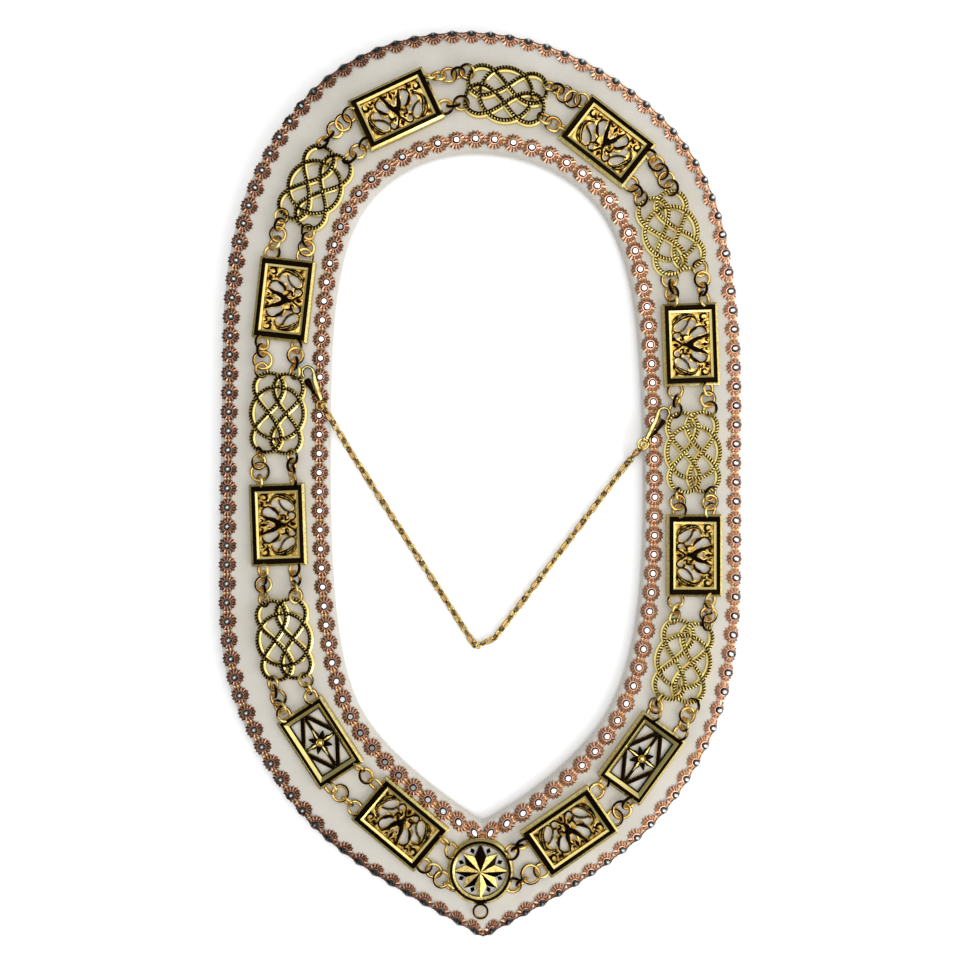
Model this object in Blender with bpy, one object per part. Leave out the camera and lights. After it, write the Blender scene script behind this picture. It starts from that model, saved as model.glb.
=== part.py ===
"""Chain collar: a padded cloth band that carries a chain of cast plates.

Two trims of set stones edge the band, and a thin chain on two lobster clasps closes the neck
opening. The collar lies flat: +Z is up, +Y points to the back of the neck and -Y to the point
at the front. The tables are in millimetres and MM turns them into metres.
"""

from collections import namedtuple
from math import atan2, cos, hypot, radians, sin, tan

import bmesh
import bpy
import numpy as np
from mathutils import Matrix, Vector

MM = 0.001
COLLECTION = "chain_collar"

# Band: its cross sections run from the neck edge to the outer edge, round from the point.
Section = namedtuple("Section", "inner_x inner_y outer_x outer_y")
SECTIONS = [
    Section(2.0, -201.5, 2.5, -271.5),
    Section(-28.0, -180.0, -67.0, -231.0),
    Section(-64.0, -144.5, -118.0, -185.5),
    Section(-81.0, -102.0, -152.0, -121.0),
    Section(-86.5, -51.5, -158.0, -54.0),
    Section(-88.0, 6.0, -157.5, 6.5),
    Section(-87.5, 64.5, -156.5, 66.0),
    Section(-84.0, 118.0, -153.0, 130.5),
    Section(-70.0, 163.0, -131.5, 198.5),
    Section(-40.0, 190.0, -76.0, 255.0),
    Section(-1.0, 199.0, 1.0, 271.5),
    Section(41.0, 189.5, 73.0, 249.0),
    Section(74.5, 162.0, 128.5, 198.0),
    Section(91.0, 117.5, 152.5, 130.5),
    Section(96.0, 64.0, 158.0, 66.5),
    Section(97.5, 6.5, 158.0, 6.5),
    Section(96.5, -51.0, 158.0, -54.0),
    Section(89.5, -102.5, 151.0, -119.5),
    Section(70.0, -146.0, 121.0, -184.0),
    Section(34.0, -181.0, 72.0, -231.0),
]
STATIONS = 80
SHARP_ANGLE = 50.0
BAND_THICKNESS = 8.0
INNER_EDGE_REACH = 3.0
OUTER_EDGE_RADIUS = 4.0
GAP = 0.3

# Trims: strips that stand for the set stones, one flat beside the neck edge, one rolled over.
TRIM_BASE = BAND_THICKNESS + GAP
INNER_TRIM_PROFILE = [(1.3, 0.0), (1.3, 0.6), (4.0, 2.0), (8.6, 2.0), (11.3, 0.6), (11.3, 0.0)]
OUTER_TRIM_SPREAD = 1.6
OUTER_TRIM_CLEARANCE = 0.65
OUTER_TRIM_THICKNESS = 1.5
OUTER_TRIM_LEAF = 8.4
OUTER_TRIM_ANGLES = (90.0, 45.0, 5.0, -35.0)

# Chain of cast plates, in order round the collar from the front medallion, with local +X along
# the chain and local +Y towards the outer edge.
Plate = namedtuple("Plate", "name kind x y turn")
PLATES = [
    Plate("medallion", "medallion", 0.9, -229.2, 180.0),
    Plate("filigree_plate_1", "filigree", -46.8, -201.3, 140.0),
    Plate("rosette_plate_1", "rosette", -94.2, -152.7, 123.0),
    Plate("knot_plate_1", "knot", -116.1, -91.8, 96.0),
    Plate("filigree_plate_2", "filigree", -119.3, -23.5, 92.0),
    Plate("knot_plate_2", "knot", -120.0, 42.7, 87.0),
    Plate("filigree_plate_3", "filigree", -115.9, 110.1, 83.6),
    Plate("knot_plate_3", "knot", -97.7, 177.0, 60.0),
    Plate("filigree_plate_4", "filigree", -49.1, 223.2, 25.0),
    Plate("knot_plate_4", "knot", 16.0, 232.3, -10.0),
    Plate("filigree_plate_5", "filigree", 76.0, 204.2, -38.0),
    Plate("knot_plate_5", "knot", 114.3, 149.8, -70.0),
    Plate("filigree_plate_6", "filigree", 125.7, 83.5, -88.0),
    Plate("knot_plate_6", "knot", 127.6, 19.5, -88.0),
    Plate("filigree_plate_7", "filigree", 127.9, -41.8, -90.0),
    Plate("knot_plate_7", "knot", 121.7, -104.8, -100.0),
    Plate("rosette_plate_2", "rosette", 96.5, -162.2, -126.0),
    Plate("filigree_plate_8", "filigree", 53.6, -205.7, -145.4),
]
PLATE_BASE = BAND_THICKNESS + GAP
PLATE_HEIGHT = 5.0
FILIGREE_SIZE = (49.0, 33.2)
ROSETTE_SIZE = (47.2, 31.4)
FRAME_WIDTH = 4.4
POCKET_DEPTH = 2.2

# Filigree panel: gaps between its scrolls, mirrored about the plate's short axis.
Almond = namedtuple("Almond", "x y length width tilt")
FILIGREE_GAPS = [
    Almond(6.2, 4.7, 9.8, 4.4, 65.0),
    Almond(10.8, -0.6, 9.2, 3.2, 45.0),
    Almond(11.4, -6.2, 9.6, 3.6, 54.0),
]

# Rosette panel: four corner gaps outside a lozenge and four petals inside it.
ROSETTE_LOZENGE = (17.4, 9.6)
ROSETTE_BAR = 1.9
PETAL_REACH = (4.6, 3.4)

# Knot: one ring and two looped strands, drawn as one quarter of its crossings.
KNOT_RING = 15.6
KNOT_STRAND = 2.1
KNOT_LENS = (3.0, 15.3)
KNOT_SHOULDER = (12.7, 9.0)
KNOT_MID_ARC = (8.5, 13.1)
KNOT_WAIST = 5.3
KNOT_HEART = 6.6
KNOT_NOTCH = 21.8
KNOT_LOBE = [(14.5, 15.4), (12.2, 21.0), (6.8, 23.4)]
KNOT_LENGTH = 2.0 * (KNOT_LOBE[2][1] + KNOT_STRAND / 2.0)

# Medallion: a ring round an eight-pointed star, lying on the inner trim.
MEDALLION_BASE = 10.7
MEDALLION_HEIGHT = 4.0
MEDALLION_RADIUS = 19.9
MEDALLION_SIDES = 28
STAR_FIELD = 16.0
STAR_REACH = 15.6
STAR_VALLEY = 6.4
STAR_SINK = 0.3
STAR_RISE = 1.4
STAR_POINTS = 8
JEWEL_RING_RADIUS = 4.1
JEWEL_RING_WIRE = 0.75
JEWEL_RING_Z = 12.0

# Rails: two rows of jump rings join each plate to the next, each row as one tube.
RAIL_SPREAD = 9.7
RAIL_RADIUS = 2.2
RAIL_Z = PLATE_BASE + 2.5
RAIL_CLEARANCE = 1.4
CLASP_RAIL_TRIM = 7.0
PLATE_LENGTHS = {"filigree": FILIGREE_SIZE[0], "rosette": ROSETTE_SIZE[0], "knot": KNOT_LENGTH}

# Clasps: local +X runs from the tail to the hook; side says which way the lever faces.
Clasp = namedtuple("Clasp", "name x y turn side")
CLASPS = [
    Clasp("left_clasp", -93.2, 50.0, 113.0, 1.0),
    Clasp("right_clasp", 99.0, 27.0, 59.0, -1.0),
]
CLASP_BASE = 10.7
CLASP_THICKNESS = 2.6
CLASP_OUTLINE_BACK = [(0.0, 1.5), (3.5, 2.1), (8.0, 3.4), (13.0, 4.2)]
CLASP_HEAD_X = 18.2
CLASP_HEAD_RADIUS = 4.3
CLASP_EYE_RADIUS = 2.5
CLASP_HOOK_TIP_X = 15.9
CLASP_WELL_X = 8.4
LEVER_PIVOT = (6.6, 2.5)
LEVER_LENGTH = 8.9
LEVER_WIDTH = 1.9
LEVER_HOLE_RADIUS = 0.75
LEVER_TURN = radians(22.0)
LEVER_CHEEK = 0.7
LEVER_LIFT = LEVER_CHEEK + GAP
PIN_RADIUS = 0.4

# Neck chain: its route from the left clasp's tail down to the floor, round its lowest link and
# up to the right clasp's tail, as points of the tube's centre line.
RoutePoint = namedtuple("RoutePoint", "x y z")
CHAIN_RADIUS = 1.5
CHAIN_REST = CHAIN_RADIUS + 0.05
CHAIN_START = [
    RoutePoint(-92.4, 48.0, 12.4),
    RoutePoint(-90.2, 43.0, 12.4),
    RoutePoint(-87.2, 38.0, 11.9),
    RoutePoint(-85.0, 34.0, 9.2),
    RoutePoint(-83.0, 30.2, 5.2),
    RoutePoint(-80.8, 26.0, 2.3),
    RoutePoint(-78.0, 21.0, CHAIN_REST),
]
CHAIN_CORNER = [
    RoutePoint(-1.9, -97.2, CHAIN_REST),
    RoutePoint(9.4, -92.2, CHAIN_REST),
]
CHAIN_END = [
    RoutePoint(87.4, 10.8, CHAIN_REST),
    RoutePoint(90.2, 14.4, 2.3),
    RoutePoint(92.6, 17.6, 5.2),
    RoutePoint(94.4, 20.2, 9.2),
    RoutePoint(96.6, 22.8, 11.9),
    RoutePoint(98.2, 24.8, 12.4),
]
CHAIN_SPACING = 6.5


def clear_scene():
    for obj in list(bpy.data.objects):
        bpy.data.objects.remove(obj, do_unlink=True)


def new_collection(name):
    collection = bpy.data.collections.new(name)
    bpy.context.scene.collection.children.link(collection)
    return collection


def new_material(name, colour, roughness, metallic):
    material = bpy.data.materials.new(name)
    material.use_nodes = True
    shader = material.node_tree.nodes["Principled BSDF"]
    shader.inputs["Base Color"].default_value = (*colour, 1.0)
    shader.inputs["Roughness"].default_value = roughness
    shader.inputs["Metallic"].default_value = metallic
    return material


def make_materials():
    return {
        "cloth": new_material("ivory_cloth", (0.70, 0.64, 0.60), 0.85, 0.0),
        "gold": new_material("cast_gold", (0.80, 0.68, 0.22), 0.25, 1.0),
        "links": new_material("chain_gold", (0.62, 0.47, 0.16), 0.3, 1.0),
        "trim": new_material("rose_gold_trim", (0.62, 0.33, 0.24), 0.35, 1.0),
    }


# --- curves and meshes -------------------------------------------------------------------------


def natural_spline(knots, values, at):
    """Read a natural cubic spline through rows of values at the places asked for."""
    steps = np.diff(knots)
    count = len(knots)
    system = np.zeros((count, count))
    system[0, 0] = system[-1, -1] = 1.0
    right = np.zeros_like(values)
    for k in range(1, count - 1):
        system[k, k - 1:k + 2] = steps[k - 1], 2.0 * (steps[k - 1] + steps[k]), steps[k]
        slopes = np.diff(values[k - 1:k + 2], axis=0) / steps[k - 1:k + 1, None]
        right[k] = 6.0 * (slopes[1] - slopes[0])
    bends = np.linalg.solve(system, right)
    span = np.clip(np.searchsorted(knots, at, side="right") - 1, 0, count - 2)
    length = steps[span][:, None]
    ahead = ((knots[span + 1] - at) / steps[span])[:, None]
    behind = 1.0 - ahead
    curved = (ahead**3 - ahead) * bends[span] + (behind**3 - behind) * bends[span + 1]
    return ahead * values[span] + behind * values[span + 1] + curved * length**2 / 6.0


def band_edges():
    """Give both edges of the band at every station, and how far a mitre stretches there."""
    rows = np.array(SECTIONS + SECTIONS[:1])
    knots = np.linspace(0.0, 1.0, len(rows))
    places = np.arange(STATIONS) / STATIONS
    values = natural_spline(knots, rows, places)
    step = 1e-4
    ahead = natural_spline(knots, rows, places + step) - values
    inner, outer = values[:, :2], values[:, 2:]
    across = outer - inner
    across /= np.linalg.norm(across, axis=1)[:, None]
    stretch = []
    for run in (ahead[:, :2], ahead[:, 2:]):
        run = run / np.linalg.norm(run, axis=1)[:, None]
        stretch.append(1.0 / np.abs(run[:, 0] * across[:, 1] - run[:, 1] * across[:, 0]))
    return inner, outer, across, stretch[0], stretch[1]


def finish_object(name, mesh, collection, material):
    obj = bpy.data.objects.new(name, mesh)
    collection.objects.link(obj)
    mesh.materials.clear()
    mesh.materials.append(material)
    return obj


def loft_loop(name, rings, collection, material):
    """Join closed profiles, one for each station, into a closed loop of quads."""
    stations, points = rings.shape[:2]
    grid = np.arange(stations * points).reshape(stations, points)
    after = np.roll(grid, -1, axis=0)
    faces = np.stack([grid, after, np.roll(after, -1, axis=1), np.roll(grid, -1, axis=1)], axis=2)
    mesh = bpy.data.meshes.new(name)
    mesh.from_pydata((rings.reshape(-1, 3) * MM).tolist(), [], faces.reshape(-1, 4).tolist())
    mesh.update()
    mesh.shade_smooth()
    mesh.set_sharp_from_angle(angle=radians(SHARP_ANGLE))
    return finish_object(name, mesh, collection, material)


def station_rings(edge, direction, profile):
    """Set a profile of (distance from the edge, height) pairs up at every station."""
    distance, height = np.array(profile).T
    plan = edge[:, None, :] + direction[:, None, :] * distance[None, :, None]
    heights = np.broadcast_to(height[None, :, None], plan.shape[:2] + (1,))
    return np.concatenate([plan, heights], axis=2)


def curve_to_mesh(curve_object):
    """Turn a curve into a closed mesh with welded caps and remove the curve."""
    graph = bpy.context.evaluated_depsgraph_get()
    mesh = bpy.data.meshes.new_from_object(curve_object.evaluated_get(graph))
    mesh.name = curve_object.name
    bpy.data.objects.remove(curve_object, do_unlink=True)
    shape = bmesh.new()
    shape.from_mesh(mesh)
    bmesh.ops.remove_doubles(shape, verts=shape.verts, dist=1e-6)
    shape.to_mesh(mesh)
    shape.free()
    mesh.shade_smooth()
    mesh.set_sharp_from_angle(angle=radians(SHARP_ANGLE))
    return mesh


def flat_mesh(name, outlines, height, base=0.0):
    """Extrude an outline with holes in it, standing on the base height."""
    curve = bpy.data.curves.new(name, "CURVE")
    curve.dimensions = "2D"
    curve.fill_mode = "BOTH"
    curve.extrude = height * MM / 2.0
    for outline in outlines:
        spline = curve.splines.new("POLY")
        spline.points.add(len(outline) - 1)
        for point, (x, y) in zip(spline.points, outline):
            point.co = (x * MM, y * MM, 0.0, 1.0)
        spline.use_cyclic_u = True
    obj = bpy.data.objects.new(name, curve)
    bpy.context.scene.collection.objects.link(obj)
    mesh = curve_to_mesh(obj)
    mesh.transform(Matrix.Translation((0.0, 0.0, (base + height / 2.0) * MM)))
    return mesh


def tube_mesh(name, points, radius):
    """Sweep a round section along points, with filled ends."""
    curve = bpy.data.curves.new(name, "CURVE")
    curve.dimensions = "3D"
    curve.bevel_depth = radius * MM
    curve.bevel_resolution = 2
    curve.use_fill_caps = True
    spline = curve.splines.new("POLY")
    spline.points.add(len(points) - 1)
    for target, point in zip(spline.points, points):
        target.co = (*(Vector(point) * MM), 1.0)
    obj = bpy.data.objects.new(name, curve)
    bpy.context.scene.collection.objects.link(obj)
    return curve_to_mesh(obj)


def combine(mesh, other, operation, cutters):
    """Give the mesh that a Boolean of two meshes makes; the second stays as a hidden guide."""
    target = bpy.data.objects.new(mesh.name, mesh)
    guide = bpy.data.objects.new(mesh.name + "_" + operation.lower(), other)
    bpy.context.scene.collection.objects.link(target)
    cutters.objects.link(guide)
    guide.hide_render = True
    guide.display_type = "WIRE"
    boolean = target.modifiers.new(operation.title(), "BOOLEAN")
    boolean.operation = operation
    boolean.object = guide
    bpy.context.view_layer.update()
    graph = bpy.context.evaluated_depsgraph_get()
    result = bpy.data.meshes.new_from_object(target.evaluated_get(graph))
    result.name = mesh.name
    bpy.data.objects.remove(target, do_unlink=True)
    return result


# --- outlines ----------------------------------------------------------------------------------


def arc(centre, radius, start, end, steps):
    angles = np.radians(np.linspace(start, end, steps + 1))
    return [(centre[0] + radius * cos(a), centre[1] + radius * sin(a)) for a in angles]


def rectangle(size):
    half_x, half_y = size[0] / 2.0, size[1] / 2.0
    return [(-half_x, -half_y), (half_x, -half_y), (half_x, half_y), (-half_x, half_y)]


def mirrored(outline, flip_x, flip_y):
    """Mirror an outline and keep it counter-clockwise."""
    flipped = [(x * flip_x, y * flip_y) for x, y in outline]
    return flipped if flip_x * flip_y > 0 else flipped[::-1]


def inset(outline, distance):
    """Move each edge of a counter-clockwise outline inward and meet the edges again."""
    points = [Vector(point) for point in outline]
    result = []
    for k, point in enumerate(points):
        before = (point - points[k - 1]).normalized()
        after = (points[(k + 1) % len(points)] - point).normalized()
        normal = Vector((-before.y - after.y, before.x + after.x)).normalized()
        lean = normal.dot(Vector((-after.y, after.x)))
        moved = point + normal * (distance / lean)
        result.append((moved.x, moved.y))
    return result


def almond(gap, flip_x):
    """Outline a leaf-shaped gap: two arcs that meet at its ends."""
    along = (-1.0, -0.45, 0.45, 1.0, 0.45, -0.45)
    half_width = gap.width / 2.0
    away = (0.0, -half_width, -half_width, 0.0, half_width, half_width)
    turn = radians(gap.tilt)
    outline = []
    for x, y in zip(along, away):
        x *= gap.length / 2.0
        outline.append((gap.x + x * cos(turn) - y * sin(turn), gap.y + x * sin(turn) + y * cos(turn)))
    return mirrored(outline, flip_x, 1.0)


def knot_outlines():
    """Outline the knot and its eleven main gaps from one quarter's crossings."""
    waist, heart, notch = (KNOT_WAIST, 0.0), (0.0, KNOT_HEART), (0.0, KNOT_NOTCH)
    side = (KNOT_RING, 0.0)
    flank = arc((0.0, 0.0), KNOT_RING, -17.7, 17.7, 2)[::2]
    quarters = [(1.0, 1.0), (-1.0, 1.0), (-1.0, -1.0), (1.0, -1.0)]
    rim = []
    for flip_x, flip_y in quarters:
        corner = [flank[1], KNOT_SHOULDER, *KNOT_LOBE]
        corner = [(x * flip_x, y * flip_y) for x, y in corner]
        ends = [(side[0] * flip_x, 0.0), (0.0, notch[1] * flip_y)]
        run = [ends[0], *corner, ends[1]]
        rim.extend(run[:-1] if flip_x * flip_y > 0 else run[:0:-1])
    half = KNOT_STRAND / 2.0
    outlines = [inset(rim, -half)]
    outlines.append(inset([waist, heart, (-KNOT_WAIST, 0.0), (0.0, -KNOT_HEART)], half))
    lobe_gap = [KNOT_SHOULDER, *KNOT_LOBE, notch, KNOT_LENS, KNOT_MID_ARC]
    middle_gap = [waist, KNOT_SHOULDER, KNOT_MID_ARC, KNOT_LENS, heart]
    for flip_x, flip_y in quarters:
        outlines.append(mirrored(inset(lobe_gap, half), flip_x, flip_y))
        outlines.append(mirrored(inset(middle_gap, half), flip_x, flip_y))
    low_shoulder = (KNOT_SHOULDER[0], -KNOT_SHOULDER[1])
    side_gap = [waist, low_shoulder, flank[0], flank[1], KNOT_SHOULDER]
    for flip_x in (1.0, -1.0):
        outlines.append(mirrored(inset(side_gap, half), flip_x, 1.0))
    return outlines


def rosette_gaps():
    """Outline the rosette plate's gaps: four corners outside its lozenge, four petals inside."""
    reach_x, reach_y = ROSETTE_LOZENGE
    slope = atan2(reach_y, reach_x)
    field_x = ROSETTE_SIZE[0] / 2.0 - FRAME_WIDTH
    field_y = ROSETTE_SIZE[1] / 2.0 - FRAME_WIDTH
    start_x = reach_x * (1.0 - field_y / reach_y) + ROSETTE_BAR / sin(slope)
    start_y = reach_y * (1.0 - field_x / reach_x) + ROSETTE_BAR / cos(slope)
    corner = [(field_x, max(start_y, 1.0)), (field_x, field_y), (max(start_x, 1.0), field_y)]
    bar = ROSETTE_BAR / 2.0
    petal = [(bar, bar), (reach_x * 0.72, bar), (bar, reach_y * 0.72)]
    petal.insert(2, (PETAL_REACH[0] * 1.3, PETAL_REACH[1] * 1.2))
    gaps = []
    for flip_x in (1.0, -1.0):
        for flip_y in (1.0, -1.0):
            gaps.append(mirrored(corner, flip_x, flip_y))
            gaps.append(mirrored(petal, flip_x, flip_y))
    return gaps


# --- pieces ------------------------------------------------------------------------------------


def make_band(edges, collection, material):
    """Loft the padded band from its sections, with a soft neck edge and a rolled outer edge."""
    inner, outer, across, inner_stretch, outer_stretch = edges
    half = BAND_THICKNESS / 2.0
    angles = np.radians([-90.0, -40.0, 0.0, 40.0, 90.0])
    neck = [(INNER_EDGE_REACH * (1.0 - cos(a)), half + half * sin(a)) for a in angles]
    rim = [(OUTER_EDGE_RADIUS * (1.0 - cos(a)), half + half * sin(a)) for a in angles[::-1]]
    fabric = outer - across * (OUTER_TRIM_SPREAD * outer_stretch)[:, None]
    neck_rings = station_rings(inner, across * inner_stretch[:, None], neck)
    rim_rings = station_rings(fabric, -across * outer_stretch[:, None], rim)
    rings = np.concatenate([neck_rings, rim_rings], axis=1)
    return loft_loop("band", rings, collection, material)


def make_inner_trim(edges, collection, material):
    inner, _, across, stretch, _ = edges
    profile = [(away, TRIM_BASE + rise) for away, rise in INNER_TRIM_PROFILE]
    rings = station_rings(inner, across * stretch[:, None], profile)
    return loft_loop("inner_trim", rings, collection, material)


def make_outer_trim(edges, collection, material):
    """Wrap a strip over the band's rolled outer edge."""
    _, outer, across, _, stretch = edges
    fabric = outer - across * (OUTER_TRIM_SPREAD * stretch)[:, None]
    half = BAND_THICKNESS / 2.0
    under = OUTER_EDGE_RADIUS + OUTER_TRIM_CLEARANCE
    over = under + OUTER_TRIM_THICKNESS
    angles = np.radians(OUTER_TRIM_ANGLES)
    below = [(OUTER_TRIM_LEAF, half + under)]
    below += [(OUTER_EDGE_RADIUS - under * cos(a), half + under * sin(a)) for a in angles]
    above = [(OUTER_EDGE_RADIUS - over * cos(a), half + over * sin(a)) for a in angles[::-1]]
    above += [(OUTER_TRIM_LEAF, half + over - 0.6)]
    profile = (below + above)[::-1]
    rings = station_rings(fabric, -across * stretch[:, None], profile)
    return loft_loop("outer_trim", rings, collection, material)


def framed_mesh(name, size, gaps, cutters):
    """Cast a plate with pierced gaps and a raised frame round a sunk panel."""
    body = flat_mesh(name, [rectangle(size), *gaps], PLATE_HEIGHT)
    field = (size[0] - 2.0 * FRAME_WIDTH, size[1] - 2.0 * FRAME_WIDTH)
    pocket = flat_mesh(name + "_pocket", [rectangle(field)], POCKET_DEPTH * 2.0,
                       PLATE_HEIGHT - POCKET_DEPTH)
    return combine(body, pocket, "DIFFERENCE", cutters)


def star_outline(reach, valley):
    outline = []
    for k in range(2 * STAR_POINTS):
        radius = valley if k % 2 else reach
        angle = radians(180.0 * k / STAR_POINTS)
        outline.append((radius * cos(angle), radius * sin(angle)))
    return outline


def star_gaps():
    """Outline the gaps between the star's points and the ring round it."""
    gaps = []
    pitch = 360.0 / STAR_POINTS
    for k in range(STAR_POINTS):
        middle = pitch * (k + 0.5)
        rim = arc((0.0, 0.0), STAR_FIELD, middle - pitch * 0.40, middle + pitch * 0.40, 2)
        valley = arc((0.0, 0.0), STAR_VALLEY + 1.1, middle, middle, 0)
        gaps.append(rim + valley)
    return gaps


def star_relief():
    """Raise the star's facets: a low pyramid on the star's outline."""
    shape = bmesh.new()
    outline = star_outline(STAR_REACH, STAR_VALLEY)
    base = (MEDALLION_HEIGHT - STAR_SINK) * MM
    floor = [shape.verts.new((x * MM, y * MM, base)) for x, y in outline]
    peak = shape.verts.new((0.0, 0.0, (MEDALLION_HEIGHT + STAR_RISE) * MM))
    shape.faces.new(floor[::-1])
    for k, vertex in enumerate(floor):
        shape.faces.new((vertex, floor[(k + 1) % len(floor)], peak))
    mesh = bpy.data.meshes.new("star_relief")
    shape.to_mesh(mesh)
    shape.free()
    return mesh


def jewel_ring_mesh():
    """Turn the ring that a jewel would hang on, half sunk in the medallion's rim."""
    bpy.ops.mesh.primitive_torus_add(major_segments=14, minor_segments=5,
                                     major_radius=JEWEL_RING_RADIUS * MM,
                                     minor_radius=JEWEL_RING_WIRE * MM)
    obj = bpy.context.active_object
    mesh = obj.data
    bpy.data.objects.remove(obj, do_unlink=True)
    return mesh


def attachment(plate, end, side, clearance):
    """Find where a rail leaves a plate: by its end along local X and its side along local Y."""
    turn = radians(plate.turn)
    if plate.kind == "medallion":
        along = (MEDALLION_RADIUS**2 - RAIL_SPREAD**2) ** 0.5 - 1.5
    else:
        along = PLATE_LENGTHS[plate.kind] / 2.0 + clearance
    x, y = end * along, side * RAIL_SPREAD
    return (plate.x + x * cos(turn) - y * sin(turn), plate.y + x * sin(turn) + y * cos(turn))


def rail_ends(first, second, side):
    start = attachment(first, 1.0, side, RAIL_CLEARANCE)
    end = attachment(second, -1.0, side, RAIL_CLEARANCE)
    return start, end


def shorten(start, end, cut):
    """Move the start of a straight stretch towards its end."""
    length = hypot(end[0] - start[0], end[1] - start[1])
    share = cut / length
    return tuple(a + (b - a) * share for a, b in zip(start, end)), end


def make_medallion(plate, collection, cutters, material):
    """Cast the medallion with its star, its jewel ring and its four soldered rail ends."""
    rim = arc((0.0, 0.0), MEDALLION_RADIUS, 0.0, 360.0, MEDALLION_SIDES)[:-1]
    mesh = flat_mesh("medallion", [rim, *star_gaps()], MEDALLION_HEIGHT)
    mesh = combine(mesh, star_relief(), "UNION", cutters)
    ring = jewel_ring_mesh()
    ring.transform(Matrix.Translation((0.0, (MEDALLION_RADIUS + JEWEL_RING_RADIUS - 0.4) * MM,
                                       (JEWEL_RING_Z - MEDALLION_BASE) * MM)))
    mesh = combine(mesh, ring, "UNION", cutters)
    place = Matrix.Translation((plate.x * MM, plate.y * MM, MEDALLION_BASE * MM))
    place @= Matrix.Rotation(radians(plate.turn), 4, "Z")
    for side in (1.0, -1.0):
        for stretch in (rail_ends(plate, PLATES[1], side), rail_ends(PLATES[-1], plate, side)):
            points = [(x, y, RAIL_Z) for x, y in stretch]
            rail = tube_mesh("medallion_rail", points, RAIL_RADIUS)
            rail.transform(place.inverted())
            mesh = combine(mesh, rail, "UNION", cutters)
    obj = finish_object("medallion", mesh, collection, material)
    obj.matrix_world = place
    return obj


def make_plates(collection, cutters, material):
    filigree = [almond(gap, flip) for gap in FILIGREE_GAPS for flip in (1.0, -1.0)]
    turned_knot = [[(y, -x) for x, y in outline] for outline in knot_outlines()]
    meshes = {
        "filigree": framed_mesh("filigree_plate", FILIGREE_SIZE, filigree, cutters),
        "rosette": framed_mesh("rosette_plate", ROSETTE_SIZE, rosette_gaps(), cutters),
        "knot": flat_mesh("knot_plate", turned_knot, PLATE_HEIGHT),
    }
    for plate in PLATES:
        if plate.kind == "medallion":
            make_medallion(plate, collection, cutters, material)
            continue
        obj = finish_object(plate.name, meshes[plate.kind], collection, material)
        obj.location = (plate.x * MM, plate.y * MM, PLATE_BASE * MM)
        obj.rotation_euler = (0.0, 0.0, radians(plate.turn))


def make_rails(collection, material):
    """Lay a tube for each row of jump rings between two plates, round from the first plate."""
    clasp_rails = {("knot_plate_2", -1.0): "start", ("filigree_plate_6", -1.0): "end"}
    for k in range(1, len(PLATES) - 1):
        first, second = PLATES[k], PLATES[k + 1]
        for side, row in ((1.0, "outer"), (-1.0, "inner")):
            start, end = rail_ends(first, second, side)
            near_clasp = clasp_rails.get((first.name, side))
            if near_clasp == "start":
                start, end = shorten(start, end, CLASP_RAIL_TRIM)
            elif near_clasp == "end":
                end, start = shorten(end, start, CLASP_RAIL_TRIM)
            name = f"{row}_rail_{k}"
            points = [(*start, RAIL_Z), (*end, RAIL_Z)]
            finish_object(name, tube_mesh(name, points, RAIL_RADIUS), collection, material)


def clasp_body_outline():
    """Outline the hook: round its back and head to the tip, then back inside to the well."""
    pivot_x, pivot_y = LEVER_PIVOT
    head = (CLASP_HEAD_X, 0.0)
    back = [(x, -y) for x, y in CLASP_OUTLINE_BACK]
    outline = back + arc(head, CLASP_HEAD_RADIUS, -70.0, 90.0, 7)
    tip_drop = CLASP_HEAD_RADIUS - 0.2
    outline += [(CLASP_HOOK_TIP_X, tip_drop), (CLASP_HOOK_TIP_X, CLASP_EYE_RADIUS - 0.1)]
    outline += arc(head, CLASP_EYE_RADIUS, 90.0, -90.0, 6)
    outline += [(13.0, -2.4), (CLASP_WELL_X + 0.6, -1.4), (CLASP_WELL_X, 0.0)]
    saddle = LEVER_WIDTH / 2.0 + GAP
    ramp_top = saddle * (1.0 - 1.0 / cos(LEVER_TURN)) / tan(LEVER_TURN)
    ramp_foot = saddle / cos(LEVER_TURN) + (CLASP_WELL_X - pivot_x) * tan(LEVER_TURN)
    outline += [(CLASP_WELL_X, pivot_y - ramp_foot), (pivot_x + ramp_top, pivot_y - saddle)]
    outline += [(pivot_x - saddle, pivot_y - saddle), (pivot_x - saddle, pivot_y)]
    outline += [(3.5, 2.1), (0.0, 1.5)]
    return outline


def clasp_meshes(side, cutters):
    """Make the hook with its lever's seat and pin, and the lever with its hole on the origin."""
    pivot_x, pivot_y = LEVER_PIVOT
    hook = flat_mesh("clasp_hook", [clasp_body_outline()], CLASP_THICKNESS)
    cheek_reach = LEVER_WIDTH / 2.0
    cheek = [(pivot_x - 2.4, pivot_y - 2.2), (pivot_x + 1.2, pivot_y - 2.2)]
    cheek += arc(LEVER_PIVOT, cheek_reach, 0.0, 150.0, 4)
    hook = combine(hook, flat_mesh("clasp_seat", [cheek], LEVER_CHEEK), "UNION", cutters)
    pin_height = CLASP_THICKNESS - 0.3
    pin = flat_mesh("clasp_pin", [arc(LEVER_PIVOT, PIN_RADIUS, 0.0, 300.0, 5)], pin_height, 0.3)
    hook = combine(hook, pin, "UNION", cutters)
    half = LEVER_WIDTH / 2.0
    bar = arc((0.0, 0.0), half, 90.0, 270.0, 4)
    bar += [(LEVER_LENGTH, -half), (LEVER_LENGTH, half)]
    hole = arc((0.0, 0.0), LEVER_HOLE_RADIUS, 0.0, 315.0, 7)
    lever = flat_mesh("clasp_lever", [bar, hole], CLASP_THICKNESS - LEVER_LIFT, LEVER_LIFT)
    if side < 0.0:
        for mesh in (hook, lever):
            mesh.transform(Matrix.Diagonal((1.0, -1.0, 1.0, 1.0)))
            mesh.flip_normals()
    return hook, lever


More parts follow.
